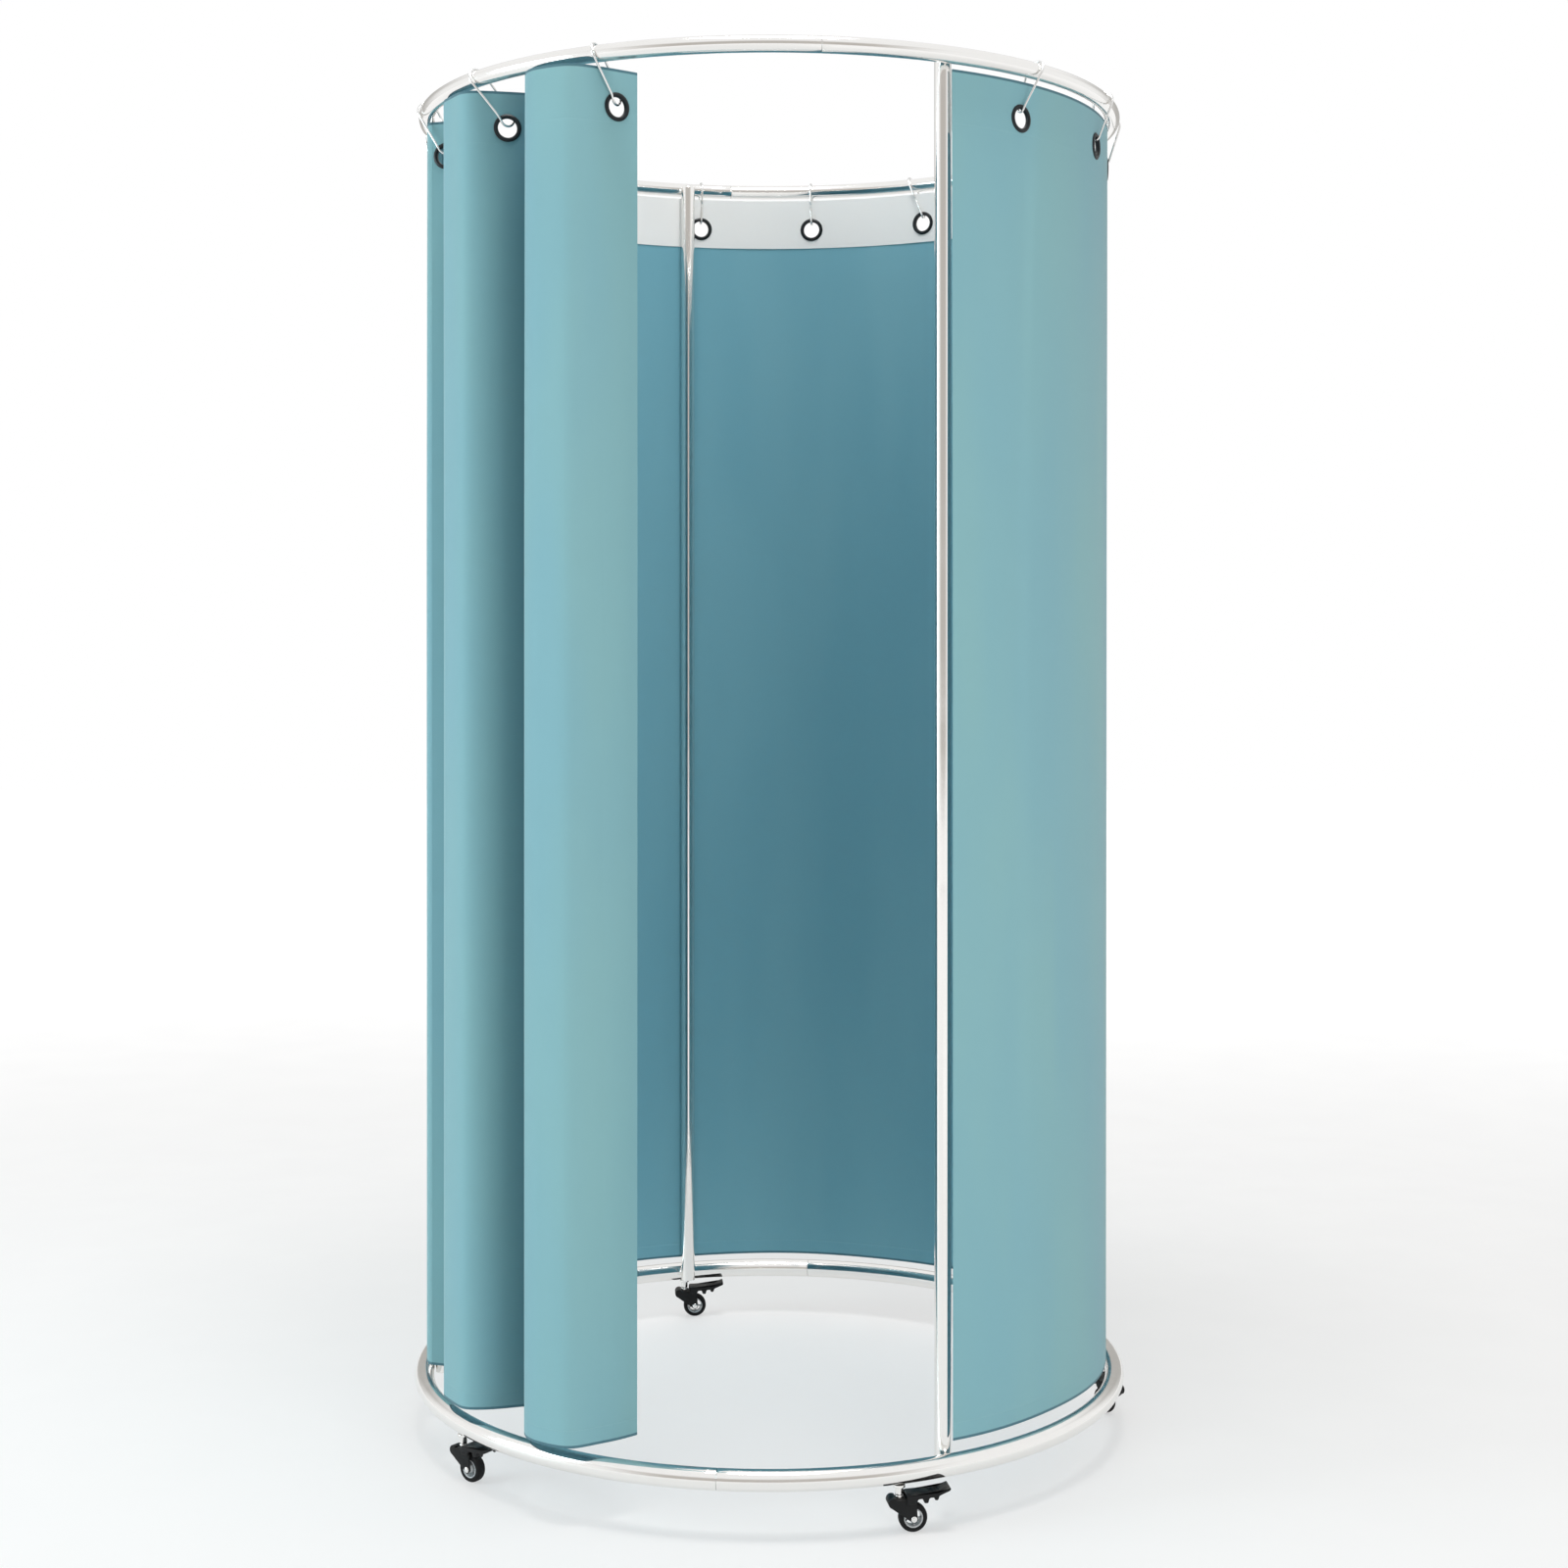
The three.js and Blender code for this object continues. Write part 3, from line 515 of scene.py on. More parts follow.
@dataclass(frozen=True)
class ClothFinish:
    """Plain woven curtain cloth with a hem at the bottom and a sewn heading at the top, darkened by painted
    shade in the door's folds, along the top and bottom edges and on the hem band.
    """

    name: str
    colour: Colour
    deep: Colour
    thread: Colour
    # Colour of the painted shade in the folds and along the edges.
    shade: Colour = (0.045, 0.125, 0.165, 1.0)
    roughness: float = 0.72
    weave_roughness: float = 0.1
    sheen: float = 0.2
    sheen_roughness: float = 0.4
    specular: float = 0.3
    hem: float = 0.022
    # Width of the painted shade line along the top and bottom edges.
    edge_shade_width: float = 0.0035
    heading: float = 0.07
    patch_scale: float = 6.5
    patch_stretch: tuple[float, float, float] = (1.0, 0.22, 1.0)
    patch_most: float = 0.6
    weave_share: float = 0.16
    # Share of painted shade on the doubled hem band.
    hem_shade_share: float = 0.12
    thread_share: float = 0.5
    fold_shade_amount: float = 0.62
    edge_shade_share: float = 0.8
    pucker_rise: float = -4.0
    hem_rise: float = 3.0
    relief: float = 0.55
    relief_height: float = 0.0001

    def build(self, fx: Effects) -> bpy.types.Material:
        """Makes the material.

        Args:
            fx: The shared effects.

        Returns:
            The material.
        """
        made, g, shader = start_material(self.name)
        weave = g.add("Group", node_tree=fx.weave)
        above_hem = g.add("SeparateXYZ", {0: g.uv()}).outputs[1]
        below_top = g.add("Attribute", attribute_name="below_top").outputs["Fac"]
        hem = g.add("Group", {"Distance": g.math("SUBTRACT", above_hem, self.hem)}, node_tree=fx.stitch)
        head = g.add("Group", {"Distance": g.math("SUBTRACT", below_top, self.heading)}, node_tree=fx.stitch)
        sewn = g.math("MAXIMUM", hem.outputs["Mask"], head.outputs["Mask"])
        pucker = g.math("MAXIMUM", hem.outputs["Pucker"], head.outputs["Pucker"])
        tall = g.add("VectorMath", {0: g.uv(), 1: self.patch_stretch}, operation="MULTIPLY")
        patch = g.ramp(g.noise(self.patch_scale, 2.0, tall.outputs[0]), 0.32, 0.68, end=self.patch_most)
        tone = g.math("MULTIPLY_ADD", weave.outputs["Tone"], self.weave_share, patch)
        base = g.mix(tone, self.deep, self.colour)
        doubled = g.math("LESS_THAN", above_hem, self.hem)
        # Painted shade: the doubled hem band is mixed a little towards the deep tone.
        base = g.mix(g.math("MULTIPLY", doubled, self.hem_shade_share), base, self.deep)
        base = g.mix(g.math("MULTIPLY", sewn, self.thread_share), base, self.thread)
        # Painted shade: deep in the door's closed folds the cloth is darkened towards the shade colour.
        folded = g.add("Attribute", attribute_name="painted_fold_shade").outputs["Fac"]
        base = g.mix(g.math("MULTIPLY", folded, self.fold_shade_amount), base, self.shade)
        # Painted shade: a thin dark line along the cloth's top and bottom edges.
        lip = g.math("LESS_THAN", g.math("MINIMUM", below_top, above_hem), self.edge_shade_width)
        base = g.mix(g.math("MULTIPLY", lip, self.edge_shade_share), base, self.shade)
        g.join(base, shader.inputs["Base Color"])
        least = self.roughness - self.weave_roughness
        rough = g.math("MULTIPLY_ADD", weave.outputs["Height"], self.weave_roughness, least)
        g.join(rough, shader.inputs["Roughness"])
        shader.inputs["Sheen Weight"].default_value = self.sheen
        shader.inputs["Sheen Roughness"].default_value = self.sheen_roughness
        shader.inputs["Specular IOR Level"].default_value = self.specular
        relief = g.math("MULTIPLY_ADD", pucker, self.pucker_rise, weave.outputs["Height"])
        relief = g.math("MULTIPLY_ADD", doubled, self.hem_rise, relief)
        set_bump(g, shader, relief, self.relief, self.relief_height)
        return made


@dataclass(frozen=True)
class ChromeFinish:
    """Polished chrome plate with smudges."""

    name: str
    colour: Colour
    low: float
    high: float
    dust: float = 0.12
    dusty: Colour = (0.62, 0.6, 0.57, 1.0)
    relief: float = 0.12
    relief_height: float = 0.0008

    def build(self, fx: Effects) -> bpy.types.Material:
        """Makes the material.

        Args:
            fx: The shared effects.

        Returns:
            The material.
        """
        made, g, shader = start_material(self.name)
        marks = g.add("Group", {"Low": self.low, "High": self.high}, node_tree=fx.handling)
        dust = g.add("Group", {"Amount": self.dust}, node_tree=fx.dust)
        g.join(g.mix(dust.outputs[0], self.colour, self.dusty), shader.inputs["Base Color"])
        g.join(marks.outputs["Roughness"], shader.inputs["Roughness"])
        shader.inputs["Metallic"].default_value = 1.0
        set_bump(g, shader, marks.outputs["Height"], self.relief, self.relief_height)
        return made


@dataclass(frozen=True)
class MouldedFinish:
    """Moulded plastic or rubber with a fine grain and a little dust."""

    name: str
    colour: Colour
    worn: Colour
    roughness: float
    grain: float = 1800.0
    relief: float = 0.25
    relief_height: float = 0.00008
    dust: float = 0.2
    dusty: Colour = (0.42, 0.41, 0.39, 1.0)
    specular: float = 0.5
    worn_share: float = 0.5
    roughness_span: float = 0.12

    def build(self, fx: Effects) -> bpy.types.Material:
        """Makes the material.

        Args:
            fx: The shared effects.

        Returns:
            The material.
        """
        made, g, shader = start_material(self.name)
        grain = g.add("Group", {"Scale": self.grain}, node_tree=fx.grain)
        dust = g.add("Group", {"Amount": self.dust}, node_tree=fx.dust)
        tone = grain.outputs["Tone"]
        base = g.mix(g.math("MULTIPLY", tone, self.worn_share), self.colour, self.worn)
        base = g.mix(dust.outputs[0], base, self.dusty)
        g.join(base, shader.inputs["Base Color"])
        least = self.roughness - self.roughness_span / 2
        rough = g.math("MULTIPLY_ADD", tone, self.roughness_span, least)
        g.join(rough, shader.inputs["Roughness"])
        shader.inputs["Specular IOR Level"].default_value = self.specular
        set_bump(g, shader, grain.outputs["Height"], self.relief, self.relief_height)
        return made


class Finishes:
    """Every finish of the room, built once."""

    def __init__(self) -> None:
        """Builds the materials."""
        fx = Effects()
        self.cloth = ClothFinish(
            "teal_cloth_outside",
            colour=(0.256, 0.476, 0.486, 1.0), deep=(0.22, 0.44, 0.5, 1.0), thread=(0.27, 0.5, 0.54, 1.0),
        ).build(fx)
        # Painted shade: the inner face is the same cloth in a bluer, slightly darker teal, standing in for
        # the shade inside the room.
        self.inner_shaded_cloth = ClothFinish(
            "teal_cloth_inside_shaded",
            colour=(0.21, 0.46, 0.54, 1.0), deep=(0.17, 0.41, 0.5, 1.0), thread=(0.26, 0.5, 0.57, 1.0),
        ).build(fx)
        self.tape = ClothFinish(
            "white_heading_tape",
            colour=(0.95, 0.94, 0.915, 1.0), deep=(0.92, 0.915, 0.895, 1.0), thread=(0.95, 0.94, 0.92, 1.0),
            roughness=0.8, sheen=0.1, hem=0.0, edge_shade_width=0.0, heading=0.076,
        ).build(fx)
        self.chrome = ChromeFinish("chromed_tube", (0.86, 0.85, 0.83, 1.0), low=0.09, high=0.24).build(fx)
        self.wire = ChromeFinish("chromed_wire", (0.8, 0.8, 0.79, 1.0), low=0.12, high=0.26).build(fx)
        self.plastic = MouldedFinish(
            "black_caster_plastic", (0.006, 0.0065, 0.007, 1.0), (0.014, 0.0145, 0.015, 1.0),
            roughness=0.5, specular=0.22,
        ).build(fx)
        self.rubber = MouldedFinish(
            "black_tyre", (0.009, 0.009, 0.01, 1.0), (0.02, 0.02, 0.02, 1.0),
            roughness=0.7, grain=2600.0, relief=0.35, specular=0.15,
        ).build(fx)
        self.hub = MouldedFinish(
            "grey_hub", (0.5, 0.52, 0.53, 1.0), (0.4, 0.42, 0.43, 1.0), roughness=0.38,
        ).build(fx)
        self.eyelet = MouldedFinish(
            "black_eyelet", (0.004, 0.007, 0.009, 1.0), (0.01, 0.013, 0.015, 1.0),
            roughness=0.38, grain=2400.0, relief=0.12, dust=0.1, specular=0.3,
        ).build(fx)


# Pieces


def add_piece(
    mesh: bpy.types.Mesh, material: bpy.types.Material | None, sharp: float = 38.0
) -> bpy.types.Object:
    """Links a mesh as an object with smooth faces.

    Args:
        mesh: The mesh, whose name the object takes.
        material: Its finish, or none where the mesh has its own.
        sharp: Edges steeper than this many degrees stay sharp.

    Returns:
        The object.
    """
    mesh.polygons.foreach_set("use_smooth", [True] * len(mesh.polygons))
    mesh.set_sharp_from_angle(angle=math.radians(sharp))
    if material:
        mesh.materials.append(material)
    made = bpy.data.objects.new(mesh.name, mesh)
    bpy.context.scene.collection.objects.link(made)
    LOG.info("%s: %d faces", made.name, len(mesh.polygons))
    return made


def thicken(
    mesh: bpy.types.Mesh, thickness: float, finishes: tuple, sharp: float = 60.0
) -> bpy.types.Object:
    """Gives a sheet two faces and a crisp rim.

    Args:
        mesh: The sheet, whose normals look outward.
        thickness: Its thickness, half to each side.
        finishes: Its outer and inner finishes.
        sharp: Edges steeper than this many degrees stay sharp.

    Returns:
        The object.
    """
    rough = bpy.data.objects.new(mesh.name, mesh)
    bpy.context.scene.collection.objects.link(rough)
    thick = rough.modifiers.new("cloth_thickness", "SOLIDIFY")
    thick.thickness = thickness
    thick.offset = 0.0
    thick.material_offset = 1
    mesh.materials.append(finishes[Face.OUTER.value])
    mesh.materials.append(finishes[Face.INNER.value])
    graph = bpy.context.evaluated_depsgraph_get()
    solid = bpy.data.meshes.new_from_object(rough.evaluated_get(graph))
    name = mesh.name
    bpy.data.objects.remove(rough)
    bpy.data.meshes.remove(mesh)
    solid.name = name
    return add_piece(solid, None, sharp)


def add_rigid(
    shell: Shell, name: str, material: bpy.types.Material, slot: str, body: str, *stands_for: str
) -> bpy.types.Object:
    """Adds a rigid piece that rides on a body and stands for CAD nodes.

    Args:
        shell: Its surfaces.
        name: Its name.
        material: Its finish.
        slot: Not used.
        body: The CAD body that carries it.
        stands_for: CAD nodes that it takes the place of.

    Returns:
        The object.
    """
    made = add_piece(shell.mesh(name), material)
    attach(made, body)
    if stands_for:
        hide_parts(*stands_for)
    return made


def dress_node(name: str, material: bpy.types.Material) -> None:
    """Gives a CAD node that stays in view its finish.

    Args:
        name: The node's name.
        material: Its finish.
    """
    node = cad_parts[name]
    node.data.materials.clear()
    node.data.materials.append(material)


@dataclass
class Ring:
    """A ring of tube in two half hoops, with a seam where they meet."""

    name: str
    radius: float
    height: float
    tube: float
    wall: float
    seam: float
    gap: float = 0.0003
    lip: float = 0.0005
    lip_steps: int = 3
    steps: int = 96
    sides: int = 30

    def hoop(self, half: int) -> Array:
        """One half hoop.

        Its section's radius follows the outer wall one way, turns over a rounded lip and
        comes back along the bore. Point (i, j) lies at angle A(i) and at radius
        R + r(i) cos b(j), height h + r(i) sin b(j).

        Args:
            half: 0 for the right half and 1 for the left.

        Returns:
            A grid that closes both ways.
        """
        outer, bore = self.tube / 2, self.tube / 2 - self.wall
        length = math.pi * self.radius - self.gap
        run = np.linspace(self.lip, length - self.lip, self.steps + 1)
        bend = np.linspace(0, math.pi / 2, self.lip_steps + 1)[1:]
        end_along = length - self.lip + self.lip * np.sin(bend)
        end_radius = outer - self.lip + self.lip * np.cos(bend)
        along = np.concatenate([run, end_along, [length], run[::-1], [0.0], length - end_along[::-1]])
        radius = np.concatenate([
            np.full(run.size, outer), end_radius, [bore],
            np.full(run.size, bore), [bore], end_radius[::-1],
        ])
        degrees = self.seam + 180 * half + np.degrees((along + self.gap / 2) / self.radius)
        around = np.arange(self.sides) * TURN / self.sides
        away = self.radius + radius[:, None] * np.cos(around)[None]
        return polar(away, degrees[:, None], self.height + radius[:, None] * np.sin(around)[None])

    def build(self, finishes: Finishes) -> None:
        """Adds both half hoops and dresses the sleeves inside them.

        Args:
            finishes: The room's finishes.
        """
        for half, side in enumerate(("right", "left")):
            node = f"{self.name}_{side}"
            shell = Shell().add_grid(self.hoop(half), True, True)
            add_rigid(shell, f"{node}_tube", finishes.chrome, "chrome", FRAME_BODY, node)
        for side in ("front", "back"):
            dress_node(f"{self.name}_sleeve_{side}", finishes.chrome)


@dataclass
class TubeFrame:
    """Both rings and the posts between them."""

    rail: Ring = field(default_factory=lambda: Ring("top_rail", 0.4995, 1.886, 0.022, 0.0014, -82.5))
    base: Ring = field(default_factory=lambda: Ring("base_ring", 0.5025, 0.075, 0.028, 0.0016, -97.5))
    posts: tuple[str, ...] = ("front_right", "back_right", "back_left", "front_left")
    post_radius: float = 0.011
    post_wall: float = 0.0014
    post_foot: float = 0.067
    post_top: float = 1.888
    post_crown: float = 0.0028
    post_bore: float = 0.03
    foot_edge: float = 0.0004
    foot_band: float = 0.001
    post_rows: int = 25
    crown_steps: int = 6
    post_sides: int = 40

    def post_centre(self, name: str) -> Array:
        """Where a post stands, taken from the middle of its CAD node's box."""
        low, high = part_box(name)
        return np.array([(low.x + high.x) / 2, (low.y + high.y) / 2, 0.0])

    def post_shell(self, centre: Array) -> Shell:
        """A post: a straight tube with a domed top and an open foot.

        The profile goes from the bore round the foot's lip, up the wall and over a
        quarter circle.

        Args:
            centre: Where its axis meets the floor.

        Returns:
            The closed surface.
        """
        outer, bore = self.post_radius, self.post_radius - self.post_wall
        shoulder = self.post_top - self.post_crown
        wall = np.array([
            [bore, self.post_foot + self.post_bore], [bore, self.post_foot], [outer, self.post_foot],
        ])
        rise = np.linspace(self.post_foot + self.foot_band, shoulder, self.post_rows)
        body = np.stack([np.full(self.post_rows, outer), rise], 1)
        dome = np.linspace(0, math.pi / 2, self.crown_steps + 1)[1:-1]
        reach = outer - self.post_crown + self.post_crown * np.cos(dome)
        cap = np.stack([reach, shoulder + self.post_crown * np.sin(dome)], 1)
        foot = eased(np.concatenate([wall, body[:1]]), self.foot_edge)
        grid = turned(np.concatenate([foot, body[1:], cap]), self.post_sides)
        return Shell().add_grid(grid, False, True, caps=True).moved(np.eye(3), centre)

    def build(self, finishes: Finishes) -> None:
        """Adds the rings and posts.

        Args:
            finishes: The room's finishes.
        """
        self.rail.build(finishes)
        self.base.build(finishes)
        for place in self.posts:
            node = f"post_{place}"
            shell = self.post_shell(self.post_centre(node))
            add_rigid(shell, f"{node}_tube", finishes.chrome, "chrome", FRAME_BODY, node)


@dataclass(frozen=True)
class Eyelet:
    """A moulded eyelet: a barrel through the cloth with a domed flange on each side."""

    bore: float = 0.013
    rim: float = 0.0187
    barrel: float = 0.0142
    grip: float = 0.0018
    half: float = 0.003
    lip: float = 0.0012
    crown: float = 0.003
    slope: float = 0.0016
    back: float = 0.001
    edge: float = 0.0008
    sides: int = 48

    def shell(self, centre: Array, outward: Array) -> Shell:
        """Turns the profile about outward: bore wall, domed flange, edge and back.

        Heights are shares of the flange's height and of the grip round the cloth.

        Args:
            centre: The eyelet's middle.
            outward: Its axis.

        Returns:
            The closed surface.
        """
        radii = [
            self.bore, self.bore, self.bore + self.lip, self.bore + self.crown, self.rim - self.slope,
            self.rim, self.rim, self.rim - self.back, self.barrel,
        ]
        heights = np.concatenate([
            self.half * np.array([0.0, 0.8, 1.08, 1.16, 0.95]), self.grip * np.array([1.15, 0.55, 0.4, 0.4]),
        ])
        half = eased(np.stack([radii, heights], 1), self.edge, 3)
        profile = np.concatenate([half, (half * [1, -1])[::-1][:-1]])
        return Shell().add_grid(turned(profile, self.sides), True, True).moved(self.facing(outward), centre)

    @staticmethod
    def facing(outward: Array) -> Array:
        """The turn that lays Z along a level direction and keeps Y up, as columns X, Y, Z.

        Args:
            outward: The direction.

        Returns:
            The turn's matrix.
        """
        z = outward / np.linalg.norm(outward)
        x = np.cross([0.0, 0.0, 1.0], z)
        x /= np.linalg.norm(x)
        return np.stack([x, np.cross(z, x), z], 1)


@dataclass(frozen=True)
class Hook:
    """A wire hook over the rail and through an eyelet, with a small mouth."""

    wire: float = 0.0015
    rail: float = 0.011
    rail_radius: float = 0.5
    rail_height: float = 1.886
    seat: float = 0.0007
    slack: float = 0.0004
    eyelet_half: float = 0.003
    bore: float = 0.01256
    mouth: float = 0.004
    crown_points: int = 40
    foot_points: int = 28
    leg_points: int = 8
    back_points: int = 10
    sides: int = 12
    tip_share: float = 0.45
    shoulder_share: float = 0.92
    tip_reach: float = 0.3

    def path(self, degrees: float, radius: float, eyelet: float, lean: float, slope: float) -> Array:
        """The wire's centre line, a belt round two circles that leans to its top.

        The crown circle sits on the rail and the foot circle in the eyelet. The belt's
        legs are their common tangents, and a point at height z moves along the rail by
        lean times its share of the way from the foot's centre to the crown's.

        Args:
            degrees: Where along the rail the eyelet hangs.
            radius: The eyelet's distance from the axis.
            eyelet: The eyelet's height.
            lean: How far the crown is ahead of the eyelet, in degrees.
            slope: How steeply the cloth turns across the rail there, in degrees.

        Returns:
            Points by 3.
        """
        level, steep = math.cos(math.radians(slope)), math.sin(math.radians(slope))
        crown_top = self.rail + self.wire + self.seat
        crown = crown_top + self.slack
        bite = (self.eyelet_half + self.wire * steep) / level
        foot = bite + self.wire + self.seat / level
        rise = math.sqrt(foot**2 - bite**2)
        bore_top = math.sqrt(self.bore**2 - (bite * steep + self.wire * level) ** 2)
        foot_height = eyelet - self.rail_height + bore_top + rise - self.wire * foot / rise - self.seat
        low = np.array([radius - self.rail_radius, foot_height])
        high = np.array([0.0, crown_top - crown])
        down = math.atan2(low[1] - high[1], low[0] - high[0])
        wrap = math.acos((crown - foot) / np.linalg.norm(low - high))
        turn = np.linspace(down - wrap + TURN, down + wrap, self.crown_points)
        over = high + crown * np.stack([np.cos(turn), np.sin(turn)], 1)
        turn = np.linspace(down + wrap, down - wrap, self.foot_points)
        under = low + foot * np.stack([np.cos(turn), np.sin(turn)], 1)
        leg = under[-1] - over[0]
        gap = self.mouth / 2 / np.linalg.norm(leg)
        first = over[0] + leg * np.linspace(0.5 - gap, 0, self.leg_points)[:-1, None]
        back = over[-1] + (under[0] - over[-1]) * np.linspace(0, 1, self.back_points)[1:-1, None]
        last = over[0] + leg * np.linspace(1, 0.5 + gap, self.leg_points)[1:, None]
        flat = np.concatenate([first, over, back, under, last])
        share = np.maximum(0.0, (flat[:, 1] - low[1]) / (high[1] - low[1]))
        return polar(self.rail_radius + flat[:, 0], degrees + lean * share, self.rail_height + flat[:, 1])

    def shell(self, path: Array, degrees: float) -> Shell:
        """Carries the wire's circle along the path, with rounded ends at the mouth.

        Args:
            path: The centre line. Its points next to the ends move towards them.
            degrees: Where along the rail the eyelet hangs.

        Returns:
            The closed surface.
        """
        radii = np.full(len(path), self.wire)
        radii[[0, -1]] *= self.tip_share
        radii[[1, -2]] *= self.shoulder_share
        path[1] = path[0] + (path[2] - path[0]) * self.tip_reach
        path[-2] = path[-1] + (path[-3] - path[-1]) * self.tip_reach
        side = polar(1.0, degrees + 90.0, 0.0)
        return Shell().add_grid(wire(path, side, radii, self.sides), False, True, caps=True)


@dataclass(frozen=True)
class Hang:
    """Where an eyelet hangs: along the cloth, round the rail, out from the axis."""

    along: float
    degrees: float
    radius: float
    lean: float = 0.0


class CurtainLine:
    """The line in plan that a curtain follows, as points against distance along it."""

    near = 0.001
    second_length, second_share = 0.37, 0.55
    drifts = (1.1, 0.8)
    second_start = 2.0
    grown = 3.0

    def __init__(self, plan: Array, ripple: float, wave: float, depth: Array | None = None) -> None:
        """Measures the line.

        Args:
            plan: Points by 2, in order.
            ripple: How far soft ripples stand out of the line.
            wave: Their length.
            depth: How much painted shade each point takes in the closed folds, from 0 to 1, if any does.
        """
        self.plan = plan
        self.depth = np.zeros(len(plan)) if depth is None else depth
        self.distance = np.concatenate([[0.0], np.cumsum(np.linalg.norm(np.diff(plan, axis=0), axis=1))])
        self.ripple = ripple
        self.wave = wave

    @property
    def length(self) -> float:
        """The line's whole length."""
        return float(self.distance[-1])

    def fold(self, along: Array) -> Array:
        """How much painted fold shade the cloth takes at distances along the line."""
        return np.interp(along, self.distance, self.depth)

    def smooth(self, along: Array) -> Array:
        """Places on the line without ripples, whose first axis is X, Y."""
        return np.stack([np.interp(along, self.distance, self.plan[:, axis]) for axis in (0, 1)])

    def at(self, along: Array, share: Array) -> Array:
        """Places on the line, moved out by ripples that grow from the top down.

        The ripple is the sum of two sine waves in the distance along, whose phases drift
        a little with the share of the way down. It is full a third of the way down.

        Args:
            along: Distances along the line.
            share: Share of the way down from the top.

        Returns:
            Points whose last axis is X, Y.
        """
        x, y = self.smooth(along)
        dx, dy = self.smooth(along + self.near) - self.smooth(along - self.near)
        size = np.maximum(np.hypot(dx, dy), TINY)
        phase = TURN * along / self.wave
        first = np.sin(phase + self.drifts[0] * share)
        second = np.sin(self.second_length * phase + self.second_start - self.drifts[1] * share)
        stand = (first + self.second_share * second) * self.ripple * np.clip(share * self.grown, 0, 1)
        return np.stack([x + dy / size * stand, y - dx / size * stand], -1)


@dataclass
class Cloth:
    """What both curtains share: their height, thickness and holes."""

    hem: float = 0.102
    top: float = 1.870
    thickness: float = 0.0009
    drop: float = 0.049
    patch: float = 0.021
    cells: int = 16
    hole: float = 0.75
    rows_above: int = 5
    rows_below: int = 64
    slack: float = 1e-6

    def stations(self, start: float, end: float, hangs: list[Hang], step: float) -> Array:
        """Distances along the cloth: even cells across each eyelet's patch, about a step between.

        Args:
            start: Where the piece starts.
            end: Where it ends.
            hangs: Its eyelets.
            step: Spacing away from eyelets.

        Returns:
            Rising distances.
        """
        edges = [start] + [hang.along + side * self.patch for hang in hangs for side in (-1, 1)] + [end]
        runs = []
        for k, (low, high) in enumerate(zip(edges[:-1], edges[1:])):
            count = self.cells if k % 2 else max(2, round((high - low) / step))
            runs.append(np.linspace(low, high, count + 1)[:-1])
        return np.concatenate(runs + [np.array([end])])

    def drops(self) -> Array:
        """Distances below the top edge as far as the fine rows go.

        Returns:
            Rising distances: rows above the eyelets' patch, then its even cells.
        """
        above = np.linspace(0, self.drop - self.patch, self.rows_above + 1)[:-1]
        beside = np.linspace(self.drop - self.patch, self.drop + self.patch, self.cells + 1)
        return np.concatenate([above, beside])

    def holed(self, along: Array, drop: Array, hangs: list[Hang]) -> tuple[Array, Array, Array]:
        """Opens round holes in a grid.

        In each eyelet's patch a point (a, b) from -1 to 1, with c the larger of |a| and
        |b|, moves towards c (a, b) / |(a, b)|, fully at the hole and not at the patch's
        edge. Points with c under the hole's share are dropped.

        Args:
            along: Grid of distances along the cloth.
            drop: Grid of distances below the top.
            hangs: The eyelets.

        Returns:
            The moved grids and a mask of the points inside holes.
        """
        gone = np.zeros(along.shape, bool)
        for hang in hangs:
            a, b = (along - hang.along) / self.patch, (drop - self.drop) / self.patch
            c = np.maximum(np.abs(a), np.abs(b))
            near = c < 1 - self.slack
            reach = np.maximum(np.hypot(a, b), TINY)
            blend = np.clip((c - self.hole) / (1 - self.hole), 0, 1)
            new_a = (1 - blend) * a / reach * c + blend * a
            new_b = (1 - blend) * b / reach * c + blend * b
            along = np.where(near, hang.along + new_a * self.patch, along)
            drop = np.where(near, self.drop + new_b * self.patch, drop)
            gone |= c < self.hole - self.slack
        return along, drop, gone

    def sheet(
        self, name: str, columns: Array, hangs: list[Hang], place: CurtainLine, finishes: tuple, slot: str
    ) -> bpy.types.Object:
        """Hangs a sheet from its top edge to the hem.

        Args:
            name: Name of the piece.
            columns: Distances along the cloth.
            hangs: Its eyelets.
            place: The line that the cloth follows.
            finishes: Its outer and inner finishes.
            slot: Not used.

        Returns:
            The object, not yet riding on anything.
        """
        fine = self.drops()
        depth = self.top - self.hem
        lower = np.linspace(0, 1, self.rows_below + 1)[1:]
        drop_rows = np.concatenate([fine, fine[-1] + (depth - fine[-1]) * lower])
        along, drop = np.meshgrid(columns, drop_rows)
        along, drop, gone = self.holed(along, drop, hangs)
        height = self.top - drop
        points = np.concatenate([place.at(along, drop / depth), height[..., None]], -1)
        quads = grid_faces(*along.shape, False, False)
        quads = quads[~gone.ravel()[quads].any(1)][:, ::-1]
        used, packed = np.unique(quads, return_inverse=True)
        mesh = bpy.data.meshes.new(name)
        mesh.from_pydata(points.reshape(-1, 3)[used].tolist(), [], packed.reshape(-1, 4).tolist())
        uv = np.stack([along.ravel()[used], (height - self.hem).ravel()[used]], 1)
        corner = np.zeros(len(mesh.loops), np.int32)
        mesh.loops.foreach_get("vertex_index", corner)
        mesh.uv_layers.new(name="cloth").data.foreach_set("uv", uv[corner].astype(np.float32).ravel())
        # The second attribute is the painted fold shade.
        for key, values in (("below_top", drop), ("painted_fold_shade", place.fold(along))):
            layer = mesh.attributes.new(key, "FLOAT", "POINT")
            layer.data.foreach_set("value", values.ravel()[used].astype(np.float32))
        return thicken(mesh, self.thickness, finishes)


